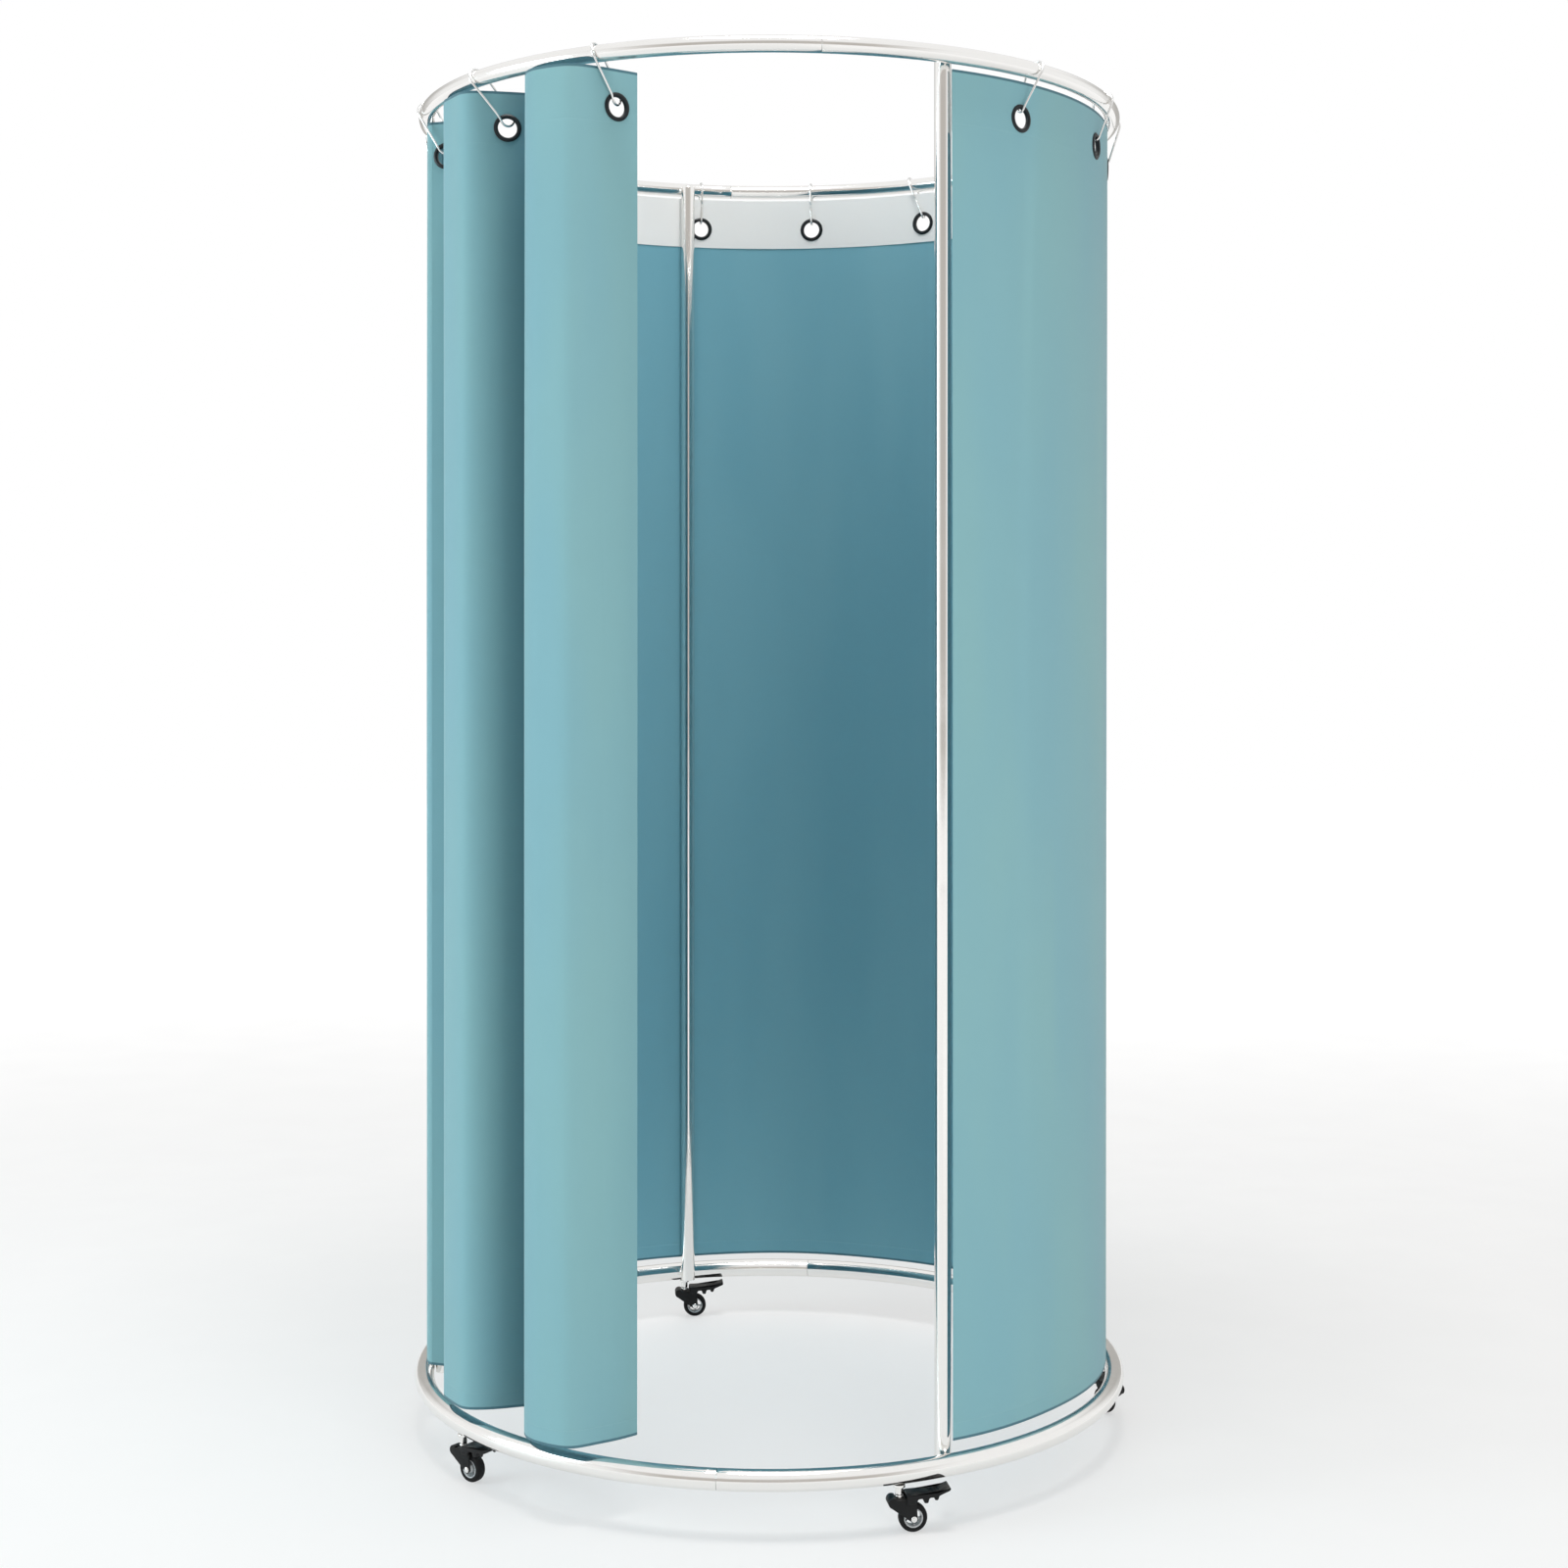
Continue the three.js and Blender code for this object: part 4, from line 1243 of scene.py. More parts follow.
@dataclass
class MainCurtain(Cloth):
    """The curtain round the sides and back, with its heading tape and eyelets."""

    radius: float = 0.4925
    edges: tuple[float, float] = (-61.4, 172.5)
    hooks: tuple[float, ...] = (-47.7, -22.7, -3.0, 16.5, 38.0, 58.9, 81.7, 103.5, 125.0, 146.0, 166.0)
    leans: tuple[float, ...] = (2.3, 1.4, 0.8, -1.1, 1.5, 2.6, 0.2, -0.2, -1.2, 0.9, -0.9)
    ripple: float = 0.0016
    wave: float = 0.31
    arc_points: int = 700
    column: float = 0.012
    tape_depth: float = 0.08
    tape_gap: float = 0.0013
    tape_thickness: float = 0.0006
    flat: tuple[float, float] = (2.013, 1.768)

    def line(self, radius: float, ripple: float) -> CurtainLine:
        """An arc of the given radius between the curtain's edges."""
        degrees = np.linspace(self.edges[0], self.edges[1], self.arc_points)
        return CurtainLine(polar(radius, degrees, 0.0)[:, :2], ripple, self.wave)

    def hangs(self, radius: float) -> list[Hang]:
        """The eyelets, as distances along an arc.

        Args:
            radius: The arc's radius.

        Returns:
            One place for each hook.
        """
        angles = np.array(self.hooks)
        along = np.radians(angles - self.edges[0]) * radius
        return [Hang(float(a), float(d), radius, lean) for a, d, lean in zip(along, angles, self.leans)]

    def tape(self, finishes: Finishes) -> bpy.types.Object:
        """The pale tape that lines the top inside.

        Args:
            finishes: The room's finishes.

        Returns:
            The object.
        """
        radius = self.radius - self.tape_gap
        line, hangs = self.line(radius, 0.0), self.hangs(radius)
        band = Cloth(hem=self.top - self.tape_depth, rows_below=2, thickness=self.tape_thickness)
        columns = band.stations(0.0, line.length, hangs, self.column)
        dress = (finishes.tape, finishes.tape)
        made = band.sheet("curtain_main_heading_tape", columns, hangs, line, dress, "header")
        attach(made, FRAME_BODY)
        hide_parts("curtain_main_header_with_eyelets")
        return made

    def build(self, finishes: Finishes) -> None:
        """Adds the cloth, tape, eyelets and hooks.

        Args:
            finishes: The room's finishes.
        """
        line, hangs = self.line(self.radius, self.ripple), self.hangs(self.radius)
        columns = self.stations(0.0, line.length, hangs, self.column)
        dress = (finishes.cloth, finishes.inner_shaded_cloth)
        cloth = self.sheet("curtain_main_cloth", columns, hangs, line, dress, "cloth")
        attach(cloth, FRAME_BODY)
        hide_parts("curtain_main")
        tape = self.tape(finishes)
        height = self.top - self.drop
        eyelets, hooks, hook = [], [], Hook()
        for k, hang in enumerate(hangs, 1):
            centre = polar(self.radius - self.tape_gap / 2, hang.degrees, height)
            shell = Eyelet().shell(centre, polar(1.0, hang.degrees, 0.0))
            eyelet = add_rigid(shell, f"curtain_main_eyelet_{k}", finishes.eyelet, "eyelet", FRAME_BODY)
            eyelets.append(eyelet)
            path = hook.path(hang.degrees, self.radius, height, hang.lean, 0.0)
            node, shell = f"main_hook_{k}", hook.shell(path, hang.degrees)
            hooks.append(add_rigid(shell, f"{node}_wire", finishes.wire, "wire", FRAME_BODY, node).name)


@dataclass
class DoorCurtain(Cloth):
    """The curtain pushed open at the left of the doorway, in pleats."""

    pieces: tuple[str, ...] = ("tail", "pleat_1", "pleat_2", "lead")
    bodies: tuple[str, ...] = (FRAME_BODY, "door_slide_1", "door_slide_2", "door_slide_3")
    rail_radius: float = 0.5
    tail_edge: float = -190.0
    hooks: tuple[float, ...] = (-184.0, -165.0, -139.0, -114.5)
    radii: tuple[float, ...] = (0.499, 0.475, 0.466, 0.475)
    crests: tuple[float, ...] = (0.497, 0.513, 0.535)
    slope: float = 60.0
    flat_half: float = 0.022
    lead: float = 0.011
    crest_place: float = 0.64
    trough_pull: float = 0.56
    crest_pull: float = 0.5
    fall_pull: float = 0.66
    first_fall: float = 0.2
    cut: float = 0.021
    # Strength of the painted shade on each pleat's fall and on the flat after it.
    closed: tuple[float, ...] = (0.2, 1.0, 0.16)
    # Share of that painted shade reached at the foot of the fall.
    mouth: float = 0.42
    curve_steps: int = 80
    finer: int = 8
    ripple: float = 0.0007
    wave: float = 0.083
    column: float = 0.005

    def slope_at(self, index: int) -> float:
        """How steeply the cloth turns across the rail at a hook, in degrees."""
        return self.slope if index else 0.0

    def flat_point(self, index: int, along: float) -> Array:
        """A point of the straight stretch through a hook's eyelet, on the unrolled plane.

        Args:
            index: The hook.
            along: Distance from the eyelet.

        Returns:
            The point, as distance along the rail and distance from the axis.
        """
        slope = math.radians(self.slope_at(index))
        start = math.radians(self.hooks[index]) * self.rail_radius
        return np.array([start + along * math.cos(slope), self.radii[index] - along * math.sin(slope)])

    @staticmethod
    def cubic(a: Array, b: Array, c: Array, d: Array, steps: int) -> Array:
        """The curve (1-t)^3 a + 3t(1-t)^2 b + 3t^2(1-t) c + t^3 d."""
        t = np.linspace(0, 1, steps + 1)[:, None]
        return (1 - t) ** 3 * a + 3 * t * (1 - t) ** 2 * b + 3 * t**2 * (1 - t) * c + t**3 * d

    def pleat(self, index: int) -> tuple[Array, Array]:
        """From one flat through the trough and over the crest to the next flat.

        The painted fold shade fades as (1-t)^4 on the way up and grows as t^5 on the way down,
        where it reaches a share of its full value, and the rest on the next flat.

        Args:
            index: The hook that the pleat starts at.

        Returns:
            Points of the unrolled plane, and how much painted fold shade each takes.
        """
        trough = self.flat_point(index, self.flat_half)
        fall = self.flat_point(index + 1, -self.flat_half)
        crest = np.array([trough[0] + (fall[0] - trough[0]) * self.crest_place, self.crests[index]])
        rise, drop = crest[0] - trough[0], fall[0] - crest[0]
        pull = self.trough_pull if index else self.crest_pull
        fall_pull = self.fall_pull if index else self.first_fall
        up = self.cubic(
            trough, self.flat_point(index, self.flat_half + rise * pull),
            np.array([crest[0] - rise * self.crest_pull, crest[1]]), crest, self.curve_steps,
        )
        down = self.cubic(
            crest, np.array([crest[0] + drop * fall_pull, crest[1]]),
            self.flat_point(index + 1, -self.flat_half - drop * fall_pull), fall, self.curve_steps,
        )
        t = np.linspace(0, 1, self.curve_steps + 1)
        before = self.closed[index - 1] if index else 0.0
        depth = np.concatenate([before * (1 - t) ** 4, self.closed[index] * self.mouth * t[1:] ** 5])
        return np.concatenate([up, down[1:]]), depth

    def line(self) -> CurtainLine:
        """The whole folded line: flats and pleats on the unrolled plane, rolled round the axis.

        A point (x, y) of the plane goes to the angle x over the rail's radius and the
        distance y from the axis.

        Returns:
            The line.
        """
        start = np.array([math.radians(self.tail_edge) * self.rail_radius, self.radii[0]])
        parts = [np.stack([start, self.flat_point(0, self.flat_half)])]
        # depths holds the painted fold shade at each point of the line.
        depths = [np.zeros(2)]
        for index, closed in enumerate(self.closed):
            points, depth = self.pleat(index)
            parts += [points[1:], self.flat_point(index + 1, self.flat_half)[None]]
            depths += [depth[1:], [closed]]
        parts.append(self.flat_point(len(self.hooks) - 1, self.flat_half + self.lead)[None])
        depths.append([self.closed[-1]])
        flat, depth = np.concatenate(parts), np.concatenate(depths)
        whole = np.arange(len(flat))
        fine = np.linspace(0, len(flat) - 1, self.finer * (len(flat) - 1) + 1)
        along, away, depth = (np.interp(fine, whole, values) for values in (flat[:, 0], flat[:, 1], depth))
        plan = polar(away, np.degrees(along / self.rail_radius), 0.0)[:, :2]
        return CurtainLine(plan, self.ripple, self.wave, depth)

    def hangs(self, line: CurtainLine) -> list[Hang]:
        """The eyelets, each at the point of the line nearest to its place.

        A hook leans so that its crown stands over the rail where the flat crosses it.

        Args:
            line: The folded line.

        Returns:
            One place for each hook.
        """
        made = []
        for index, (degrees, radius) in enumerate(zip(self.hooks, self.radii)):
            away = np.linalg.norm(line.plan - polar(radius, degrees, 0.0)[:2], axis=1)
            steep = math.tan(math.radians(self.slope_at(index)))
            lean = -math.degrees((self.rail_radius - radius) / steep / self.rail_radius) if steep else 0.0
            made.append(Hang(float(line.distance[int(np.argmin(away))]), degrees, radius, lean))
        return made

    def outward(self, index: int) -> Array:
        """The direction that an eyelet faces.

        Args:
            index: Its hook.

        Returns:
            A level direction across the flat.
        """
        ends = [self.flat_point(index, side * self.flat_half) for side in (-1, 1)]
        before, after = (polar(p[1], math.degrees(p[0] / self.rail_radius), 0.0) for p in ends)
        along = (after - before) / np.linalg.norm(after - before)
        return np.array([along[1], -along[0], 0.0])

    def fittings(self, finishes: Finishes, hangs: list[Hang]) -> list[bpy.types.Object]:
        """Adds each hook with its eyelet, on the body of its stretch of cloth.

        Args:
            finishes: The room's finishes.
            hangs: Where the eyelets hang.

        Returns:
            The eyelets.
        """
        height = self.top - self.drop
        eyelets, hook = [], Hook()
        for k, (hang, body) in enumerate(zip(hangs, self.bodies)):
            shell = Eyelet().shell(polar(hang.radius, hang.degrees, height), self.outward(k))
            node = f"door_eyelet_{k + 1}"
            eyelets.append(add_rigid(shell, f"curtain_{node}", finishes.eyelet, "eyelet", body, node))
            path = hook.path(hang.degrees, hang.radius, height, hang.lean, self.slope_at(k))
            node = f"door_hook_{k + 1}"
            add_rigid(hook.shell(path, hang.degrees), f"{node}_wire", finishes.wire, "wire", body, node)
        return eyelets

    def build(self, finishes: Finishes) -> None:
        """Adds the tail and three stretches of cloth, their eyelets and hooks.

        Args:
            finishes: The room's finishes.
        """
        line = self.line()
        hangs = self.hangs(line)
        eyelets = self.fittings(finishes, hangs)
        cuts = [0.0] + [hang.along - self.cut for hang in hangs[1:]] + [line.length]
        dress = (finishes.cloth, finishes.inner_shaded_cloth)
        for k, (piece, body) in enumerate(zip(self.pieces, self.bodies)):
            node = f"curtain_door_{piece}"
            columns = self.stations(cuts[k], cuts[k + 1], [hangs[k]], self.column)
            cloth = self.sheet(f"{node}_cloth", columns, [hangs[k]], line, dress, "cloth")
            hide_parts(node)
            if k + 1 < len(self.pieces):
                start = line.at(np.array(hangs[k].along + self.cut), np.array(0.0))
                end = line.at(np.array(cuts[k + 1]), np.array(0.0))
                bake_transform(cloth)
            else:
                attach(cloth, body)


@dataclass
class Caster:
    """A braked swivel caster, drawn with its stem on the Z axis, trailing towards +X."""

    place: Place
    degrees: float
    heading: float
    stem_circle: float = 0.501929
    trail: float = 0.0175
    axle_height: float = 0.018342
    wheel: float = 0.0185
    tread_half: float = 0.0075
    tread_edge: float = 0.0008
    tread_sides: int = 72
    rim: float = 0.0124
    rim_sides: int = 64
    hub_edge: float = 0.0004
    spokes: int = 5
    spoke_rows: int = 7
    spoke_sides: int = 12
    spoke_bend: float = 14.0
    spoke_ends: tuple[float, float] = (0.0048, 0.0108)
    spoke_half: tuple[float, float] = (0.0011, 0.0026)
    fork_half: float = 0.011
    fork_top: float = 0.043
    cheek: float = 0.0025
    cheek_foot: float = 0.005
    nose: tuple[float, float] = (-0.0086, 0.0392)
    nose_radius: float = 0.0068
    wheel_arch: float = 0.02
    fork_edge: float = 0.0006
    pivot: tuple[float, float] = (0.012, 0.041)
    pivot_radius: float = 0.0023
    pivot_sides: int = 24
    pedal_half: float = 0.013
    pedal_wall: float = 0.0014
    pedal_size: tuple[float, float] = (0.065, 0.057)
    pedal_edge: float = 0.0005
    corner: float = 0.001
    ridges: int = 4
    ridge_radius: float = 0.0008
    ridge_half: float = 0.0105
    ridge_start: tuple[float, float] = (0.0385, 0.0508)
    ridge_step: tuple[float, float] = (0.0042, 0.00006)
    tip_start: float = 0.0488
    tip_slope: float = 0.36
    overlap: float = 0.0005
    stem_edge: float = 0.0005
    lathe_sides: int = 32
    barrel_sides: int = 40

    @property
    def name(self) -> str:
        """The start of its pieces' names."""
        return f"caster_{self.place.value}"

    def add(
        self, shell: Shell, part: str, material: bpy.types.Material, slot: str, body: str, *nodes: str
    ) -> None:
        """Places a shell under the ring and adds it.

        Args:
            shell: Its surfaces, with the stem on the Z axis.
            part: The end of its name.
            material: Its finish.
            slot: Passed to add_rigid, which does not use it.
            body: The CAD body that carries it.
            nodes: Ends of the names of the CAD nodes that it takes the place of.
        """
        ahead = polar(1.0, self.heading, 0.0)
        turn = np.stack([ahead, [-ahead[1], ahead[0], 0.0], [0.0, 0.0, 1.0]], 1)
        shift = polar(self.stem_circle, self.degrees, 0.0)
        stands_for = [f"{self.name}_{node}" for node in nodes]
        add_rigid(shell.moved(turn, shift), f"{self.name}_{part}", material, slot, body, *stands_for)

    def about_axle(self, shell: Shell) -> Shell:
        """Lays a shell that is turned about Z along the axle."""
        return shell.moved(ACROSS, np.array([self.trail, 0, self.axle_height]))

    def tyre(self) -> Shell:
        """The tyre: a crowned tread with rounded shoulders, on the rim.

        Returns:
            The closed surface.
        """
        edge, seat = -self.tread_half, self.rim - 0.0004
        side = np.array([
            [seat, edge + 0.0012], [self.rim + 0.0006, edge + 0.0002], [self.wheel - 0.0032, edge],
            [self.wheel - 0.0016, edge + 0.0006], [self.wheel - 0.0003, edge + 0.0028],
            [self.wheel, edge * 0.35],
        ])
        profile = closed_eased(np.concatenate([side, (side * [1, -1])[::-1], [[seat, 0.0]]]), self.tread_edge)
        return self.about_axle(Shell().add_grid(turned(profile, self.tread_sides), True, True))

    def hub(self) -> Shell:
        """The pale hub: a rim band, a boss round the axle and curved spokes between.

        A spoke's centre line is at the angle k/5 of a turn + bend sin(pi s), where s goes
        from 0 at the boss to 1 at the band. Its section is an ellipse.

        Returns:
            The closed surfaces.
        """
        edge, rim = self.tread_half, self.rim
        band = np.array([
            [rim - 0.0018, 0.0012 - edge], [rim, 0.0009 - edge], [rim - 0.0003, 0.0],
            [rim, edge - 0.0009], [rim - 0.0018, edge - 0.0012], [rim - 0.0022, 0.0],
        ])
        side = np.array([[0.0029, -edge - 0.0004], [0.0046, -edge - 0.0004], [0.0054, 0.0008 - edge]])
        boss = np.concatenate([side, (side * [1, -1])[::-1]])
        shell = Shell().add_grid(turned(closed_eased(band, self.hub_edge), self.rim_sides), True, True)
        shell.add_grid(turned(closed_eased(boss, self.hub_edge), self.barrel_sides), True, True)
        share = np.linspace(0, 1, self.spoke_rows)
        along = self.spoke_ends[0] + (self.spoke_ends[1] - self.spoke_ends[0]) * share
        around = np.arange(self.spoke_sides) * TURN / self.spoke_sides
        width, depth = self.spoke_half
        for k in range(self.spokes):
            degrees = 360 / self.spokes * k + self.spoke_bend * np.sin(share * math.pi)
            centre = polar(along, degrees, 0.0)
            across = polar(1.0, degrees + 90, 0.0)
            grid = centre[:, None] + width * np.cos(around)[None, :, None] * across[:, None]
            grid[..., 2] = depth * np.sin(around)
            shell.add_grid(grid, False, True, caps=True)
        return self.about_axle(shell)

    @staticmethod
    def arc(centre: tuple[float, float], radius: float, start: float, end: float, steps: int) -> Array:
        """Points of an arc in X and Z, from one angle to the other in degrees."""
        return centre + polar(radius, np.linspace(start, end, steps), 0.0)[:, :2]

    def fork(self) -> Shell:
        """The fork: a rounded nose and deck over the wheel between two cheeks.

        Returns:
            The closed surfaces, with the pin of the pedal and the collar of the stem.
        """
        axle, top = (self.trail, self.axle_height), self.fork_top
        back = np.array([[0.021, 0.0388], [0.0074, top], [-0.0055, top]])
        cheek_nose = self.arc(self.nose, self.nose_radius, 60, 250, 24)
        cheek = np.concatenate([back, cheek_nose, self.arc(axle, self.cheek_foot, 215, 385, 24)])
        deck_nose = self.arc(self.nose, self.nose_radius, 60, 268, 28)
        deck = np.concatenate([back, deck_nose, self.arc(axle, self.wheel_arch, 142, 82, 16)])
        half, inner = self.fork_half, self.fork_half - self.cheek
        under = inner + self.overlap
        shell = Shell()
        for near, far, outline in ((-half, -inner, cheek), (inner, half, cheek), (-under, under, deck)):
            shell.add_grid(plate(outline, near, far, self.fork_edge), False, True, caps=True)
        radius, end = self.pivot_radius, half + 0.0019
        pin = np.array([
            [radius - 0.0007, -end - 0.0003], [radius, 0.0004 - end],
            [radius, end - 0.0004], [radius - 0.0007, end + 0.0003],
        ])
        laid = turned(pin, self.pivot_sides) @ ACROSS.T + [self.pivot[0], 0, self.pivot[1]]
        collar = np.array([
            [0.0058, top - 0.002], [0.0085, top - 0.002], [0.0085, top + 0.0002],
            [0.0078, top + 0.0009], [0.0058, top + 0.0009],
        ])
        shell.add_grid(laid, False, True, caps=True)
        return shell.add_grid(turned(collar, self.lathe_sides), True, True)

    def pedal(self) -> Shell:
        """The brake pedal: two cheeks, a roof between them, and grip ridges on the tread.

        The cheeks' outline is in shares of the pedal's reach and height.

        Returns:
            The closed surfaces.
        """
        shares = np.array([
            [0.12, 0.66], [0.3, 0.66], [0.35, 0.77], [0.44, 0.78], [0.47, 0.68], [0.545, 0.68],
            [0.57, 0.79], [0.66, 0.8], [0.68, 0.735], [0.74, 0.735], [0.77, 0.83], [0.98, 0.93],
            [1.0, 0.97], [0.985, 1.0], [0.75, 0.9], [0.14, 0.87], [0.12, 0.84],
        ])
        outline = closed_eased(shares * self.pedal_size, self.pedal_wall)
        roof = closed_eased(np.array([
            [0.0085, 0.0463], [0.0228, 0.0463], [0.0228, 0.0446], [0.0368, 0.0452], [0.0429, 0.0456],
            [0.0502, 0.0474], [0.0637, 0.053], [0.065, 0.0553], [0.064, 0.057], [0.0488, 0.0513],
            [0.0091, 0.0496],
        ]), self.corner)
        lug = np.array([[0.0306, 0.0388], [0.0354, 0.0388], [0.036, 0.046], [0.03, 0.046]])
        half, inner = self.pedal_half, self.pedal_half - self.pedal_wall
        roof_half, lug_half = inner + 0.0004, inner + 0.0002
        shell = Shell()
        for near, far, side in (
            (-half, -inner, outline),
            (inner, half, outline),
            (-roof_half, roof_half, roof),
            (-lug_half, lug_half, closed_eased(lug, self.corner)),
        ):
            shell.add_grid(plate(side, near, far, self.pedal_edge), False, True, caps=True)
        for k in range(self.ridges):
            x = self.ridge_start[0] + self.ridge_step[0] * k
            z = self.ridge_start[1] + self.ridge_step[1] * k + max(0.0, x - self.tip_start) * self.tip_slope
            ridge = self.arc((x, z), self.ridge_radius, 0, 360, 13)[:-1]
            edge = self.ridge_radius / 2
            shell.add_grid(plate(ridge, -self.ridge_half, self.ridge_half, edge), False, True, caps=True)
        return shell

    def axle(self) -> Shell:
        """The axle: a plain pin with domed heads outside the fork.

        Returns:
            The closed surface.
        """
        end, tip = self.fork_half + 0.0003, self.fork_half + 0.0018
        pin, head = 0.0025, 0.004
        side = np.array([
            [0.0006, -tip - 0.0004], [0.003, -tip], [head, -end - 0.0006], [head, -end], [pin, -end],
        ])
        profile = eased(np.concatenate([side, (side * [1, -1])[::-1]]), self.hub_edge)
        grid = turned(profile, self.lathe_sides)
        return self.about_axle(Shell().add_grid(grid, False, True, caps=True))

    def stem(self) -> Shell:
        """The stem: a pin in the fork, a turned barrel with a groove, and a flange under the ring.

        Returns:
            The closed surface.
        """
        pin, barrel, groove, flange, core = 0.004, 0.0055, 0.0051, 0.008, 0.001
        profile = np.array([
            [core, 0.036], [pin, 0.036], [pin, 0.0433], [barrel, 0.0433], [barrel, 0.0465], [groove, 0.047],
            [groove, 0.048], [barrel, 0.0485], [barrel, 0.0572], [flange, 0.0572], [flange, 0.0607],
            [core, 0.0609],
        ])
        grid = turned(eased(profile, self.stem_edge), self.barrel_sides)
        return Shell().add_grid(grid, False, True, caps=True)

    def build(self, finishes: Finishes) -> None:
        """Adds the caster's pieces to their bodies.

        Args:
            finishes: The room's finishes.
        """
        swivel, wheel, brake = f"{self.name}_swivel", f"{self.name}_wheel", f"{self.name}_brake"
        self.add(self.stem(), "stem_barrel", finishes.chrome, "chrome", FRAME_BODY, "stem")
        self.add(self.fork(), "fork_moulding", finishes.plastic, "plastic", swivel, "fork")
        self.add(self.axle(), "axle_pin", finishes.wire, "chrome", swivel, "axle")
        self.add(self.tyre(), "tyre", finishes.rubber, "rubber", wheel, "wheel")
        self.add(self.hub(), "hub", finishes.hub, "rubber", wheel)
        self.add(self.pedal(), "pedal_moulding", finishes.plastic, "plastic", brake, "brake_pedal")


# Studio


@dataclass(frozen=True)
class Lamp:
    """A soft square lamp that looks at a point."""

    name: str
    place: tuple[float, float, float]
    aim: tuple[float, float, float]
    size: float
    power: float
    colour: tuple[float, float, float] = (1.0, 1.0, 1.0)
    mirrored: bool = True

    def build(self) -> None:
        """Adds the lamp, which only shows in metal if it is mirrored."""
        data = bpy.data.lights.new(self.name, "AREA")
        data.shape = "SQUARE"
        data.size = self.size
        data.energy = self.power
        data.color = self.colour
        made = bpy.data.objects.new(self.name, data)
        bpy.context.scene.collection.objects.link(made)
        made.visible_glossy = self.mirrored
        made.location = self.place
        away = Vector(self.aim) - Vector(self.place)
        made.rotation_euler = away.to_track_quat("-Z", "Y").to_euler()


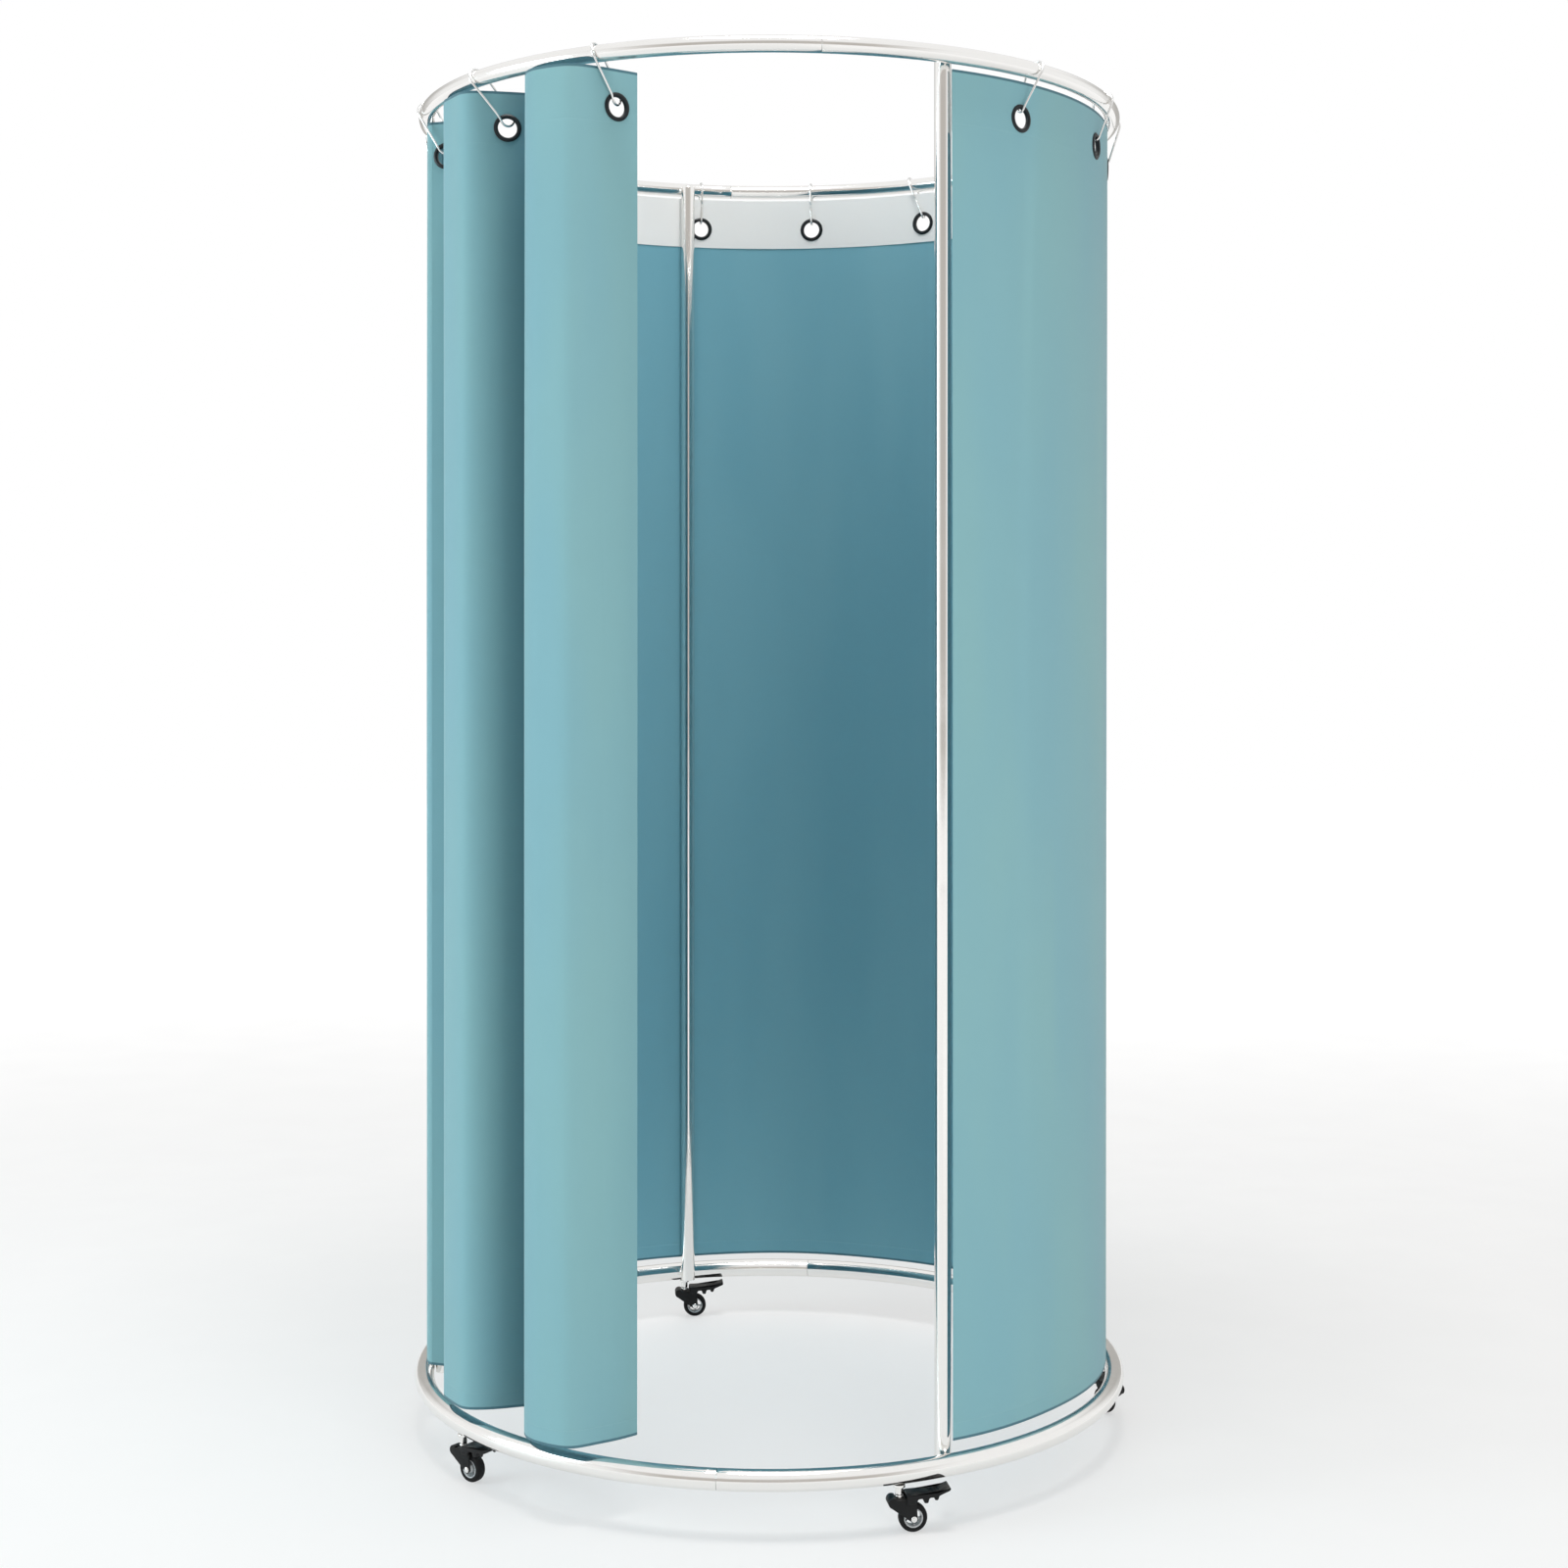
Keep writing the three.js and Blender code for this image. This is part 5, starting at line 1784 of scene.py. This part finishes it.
@dataclass
class Studio:
    """The floor, lamps, pale surround and camera."""

    floor_half: float = 14.0
    floor_colour: Colour = (0.86, 0.85, 0.835, 1.0)
    floor_patch: Colour = (0.835, 0.83, 0.82, 1.0)
    patch_most: float = 0.25
    floor_specular: float = 0.2
    near: float = 0.9
    far: float = 5.5
    lift: float = 0.52
    ambient: float = 0.45
    room_before: Colour = (0.56, 0.53, 0.5, 1.0)
    room_behind: Colour = (0.5, 0.49, 0.47, 1.0)
    lens: float = 54.135
    sensor: float = 36.0
    camera_height: float = 1.1377
    camera_distance: float = 3.473
    shift: tuple[float, float] = (0.009375, -0.09375)
    lamps: tuple[Lamp, ...] = (
        Lamp("left_lamp", (-4.0, -1.0, 1.7), (0.0, 0.0, 0.9), 2.0, 74.0, (0.76, 0.93, 1.0)),
        Lamp("right_lamp", (1.8, -4.0, 1.1), (0.0, 0.0, 0.8), 2.0, 58.0, mirrored=False),
        Lamp("top_lamp", (0.0, -0.7, 4.4), (0.0, 0.1, 0.0), 1.2, 68.0),
        Lamp("back_lamp", (0.6, 4.6, 1.4), (0.0, 0.0, 0.9), 2.0, 24.0, mirrored=False),
    )

    def floor(self) -> None:
        """A plain pale floor that goes white far away and keeps the object's shadow.

        Its glow is left out of the light that it throws on the object.
        """
        mesh = bpy.data.meshes.new("floor")
        h = self.floor_half
        mesh.from_pydata([(-h, -h, 0), (h, -h, 0), (h, h, 0), (-h, h, 0)], [], [(0, 1, 2, 3)])
        made = bpy.data.objects.new("floor", mesh)
        bpy.context.scene.collection.objects.link(made)
        material, g, shader = start_material("pale_floor")
        away = g.add("VectorMath", {0: g.add("TexCoord").outputs["Object"]}, operation="LENGTH")
        seen = g.math("SUBTRACT", 1.0, g.add("LightPath").outputs["Is Diffuse Ray"])
        share = g.math("MULTIPLY", g.ramp(away.outputs["Value"], self.near, self.far, self.lift), seen)
        patch = g.math("MULTIPLY", g.ramp(g.noise(1.3, 4.0), 0.3, 0.7), self.patch_most)
        near = g.mix(patch, self.floor_colour, self.floor_patch)
        g.join(g.mix(share, near, BLACK), shader.inputs["Base Color"])
        g.join(g.mix(share, BLACK, WHITE), shader.inputs["Emission Color"])
        shader.inputs["Emission Strength"].default_value = 1.0
        rough = g.ramp(g.noise(6.0, 4.0), 0.3, 0.7, start=0.5, end=0.62)
        g.join(rough, shader.inputs["Roughness"])
        shader.inputs["Specular IOR Level"].default_value = self.floor_specular
        mesh.materials.append(material)

    def world(self) -> None:
        """White to the camera, a level light on the object, and a pale room in its metal.

        The room is white above and at both sides, and duller level with the eye behind
        the camera and behind the object.
        """
        world = bpy.data.worlds.new("studio")
        bpy.context.scene.world = world
        world.use_nodes = True
        g = Graph(world.node_tree)
        light = world.node_tree.nodes["Background"]
        path = g.add("LightPath")
        towards = g.add("SeparateXYZ", {0: g.add("TexCoord").outputs["Generated"]})
        level = g.mix(g.ramp(towards.outputs[1], -0.3, 0.3), self.room_before, self.room_behind)
        beside = g.ramp(g.math("ABSOLUTE", towards.outputs[0]), 0.45, 0.85)
        above = g.ramp(g.math("ABSOLUTE", towards.outputs[2]), 0.3, 0.6)
        room = g.mix(g.math("MAXIMUM", beside, above), level, WHITE)
        g.join(g.mix(path.outputs["Is Glossy Ray"], WHITE, room), light.inputs["Color"])
        clear = g.math("MAXIMUM", path.outputs["Is Camera Ray"], path.outputs["Is Transmission Ray"])
        clear = g.math("MAXIMUM", clear, path.outputs["Is Glossy Ray"])
        strength = g.math("MULTIPLY_ADD", clear, 1.0 - self.ambient, self.ambient)
        g.join(strength, light.inputs["Strength"])

    def camera(self) -> None:
        """The level camera of the photograph, shifted to its framing."""
        data = bpy.data.cameras.new("camera")
        data.lens = self.lens
        data.sensor_width = self.sensor
        data.shift_x, data.shift_y = self.shift
        made = bpy.data.objects.new("camera", data)
        bpy.context.scene.collection.objects.link(made)
        made.location = (0.0, -self.camera_distance, self.camera_height)
        made.rotation_euler = (math.radians(90), 0.0, 0.0)
        bpy.context.scene.camera = made

    def build(self) -> None:
        """Sets the stage."""
        self.floor()
        self.world()
        for lamp in self.lamps:
            lamp.build()
        self.camera()
        bpy.context.scene.view_settings.view_transform = "Standard"


def corners(box: tuple) -> list[list[float]]:
    """A box's two corners as plain numbers."""
    return [[float(value) for value in corner] for corner in box]


def main() -> None:
    """Builds the room piece by piece."""
    logging.basicConfig(level=logging.INFO, format="%(name)s: %(message)s")
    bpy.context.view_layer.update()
    finishes = Finishes()
    TubeFrame().build(finishes)
    MainCurtain().build(finishes)
    DoorCurtain().build(finishes)
    for caster in (
        Caster(Place.FRONT_RIGHT, -70.8, 8.0),
        Caster(Place.RIGHT, -3.0, 120.0),
        Caster(Place.BACK_LEFT, 106.5, 4.0),
        Caster(Place.FRONT_LEFT, -145.5, -38.0),
    ):
        caster.build(finishes)
    Studio().build()


if __name__ == "__main__":
    main()
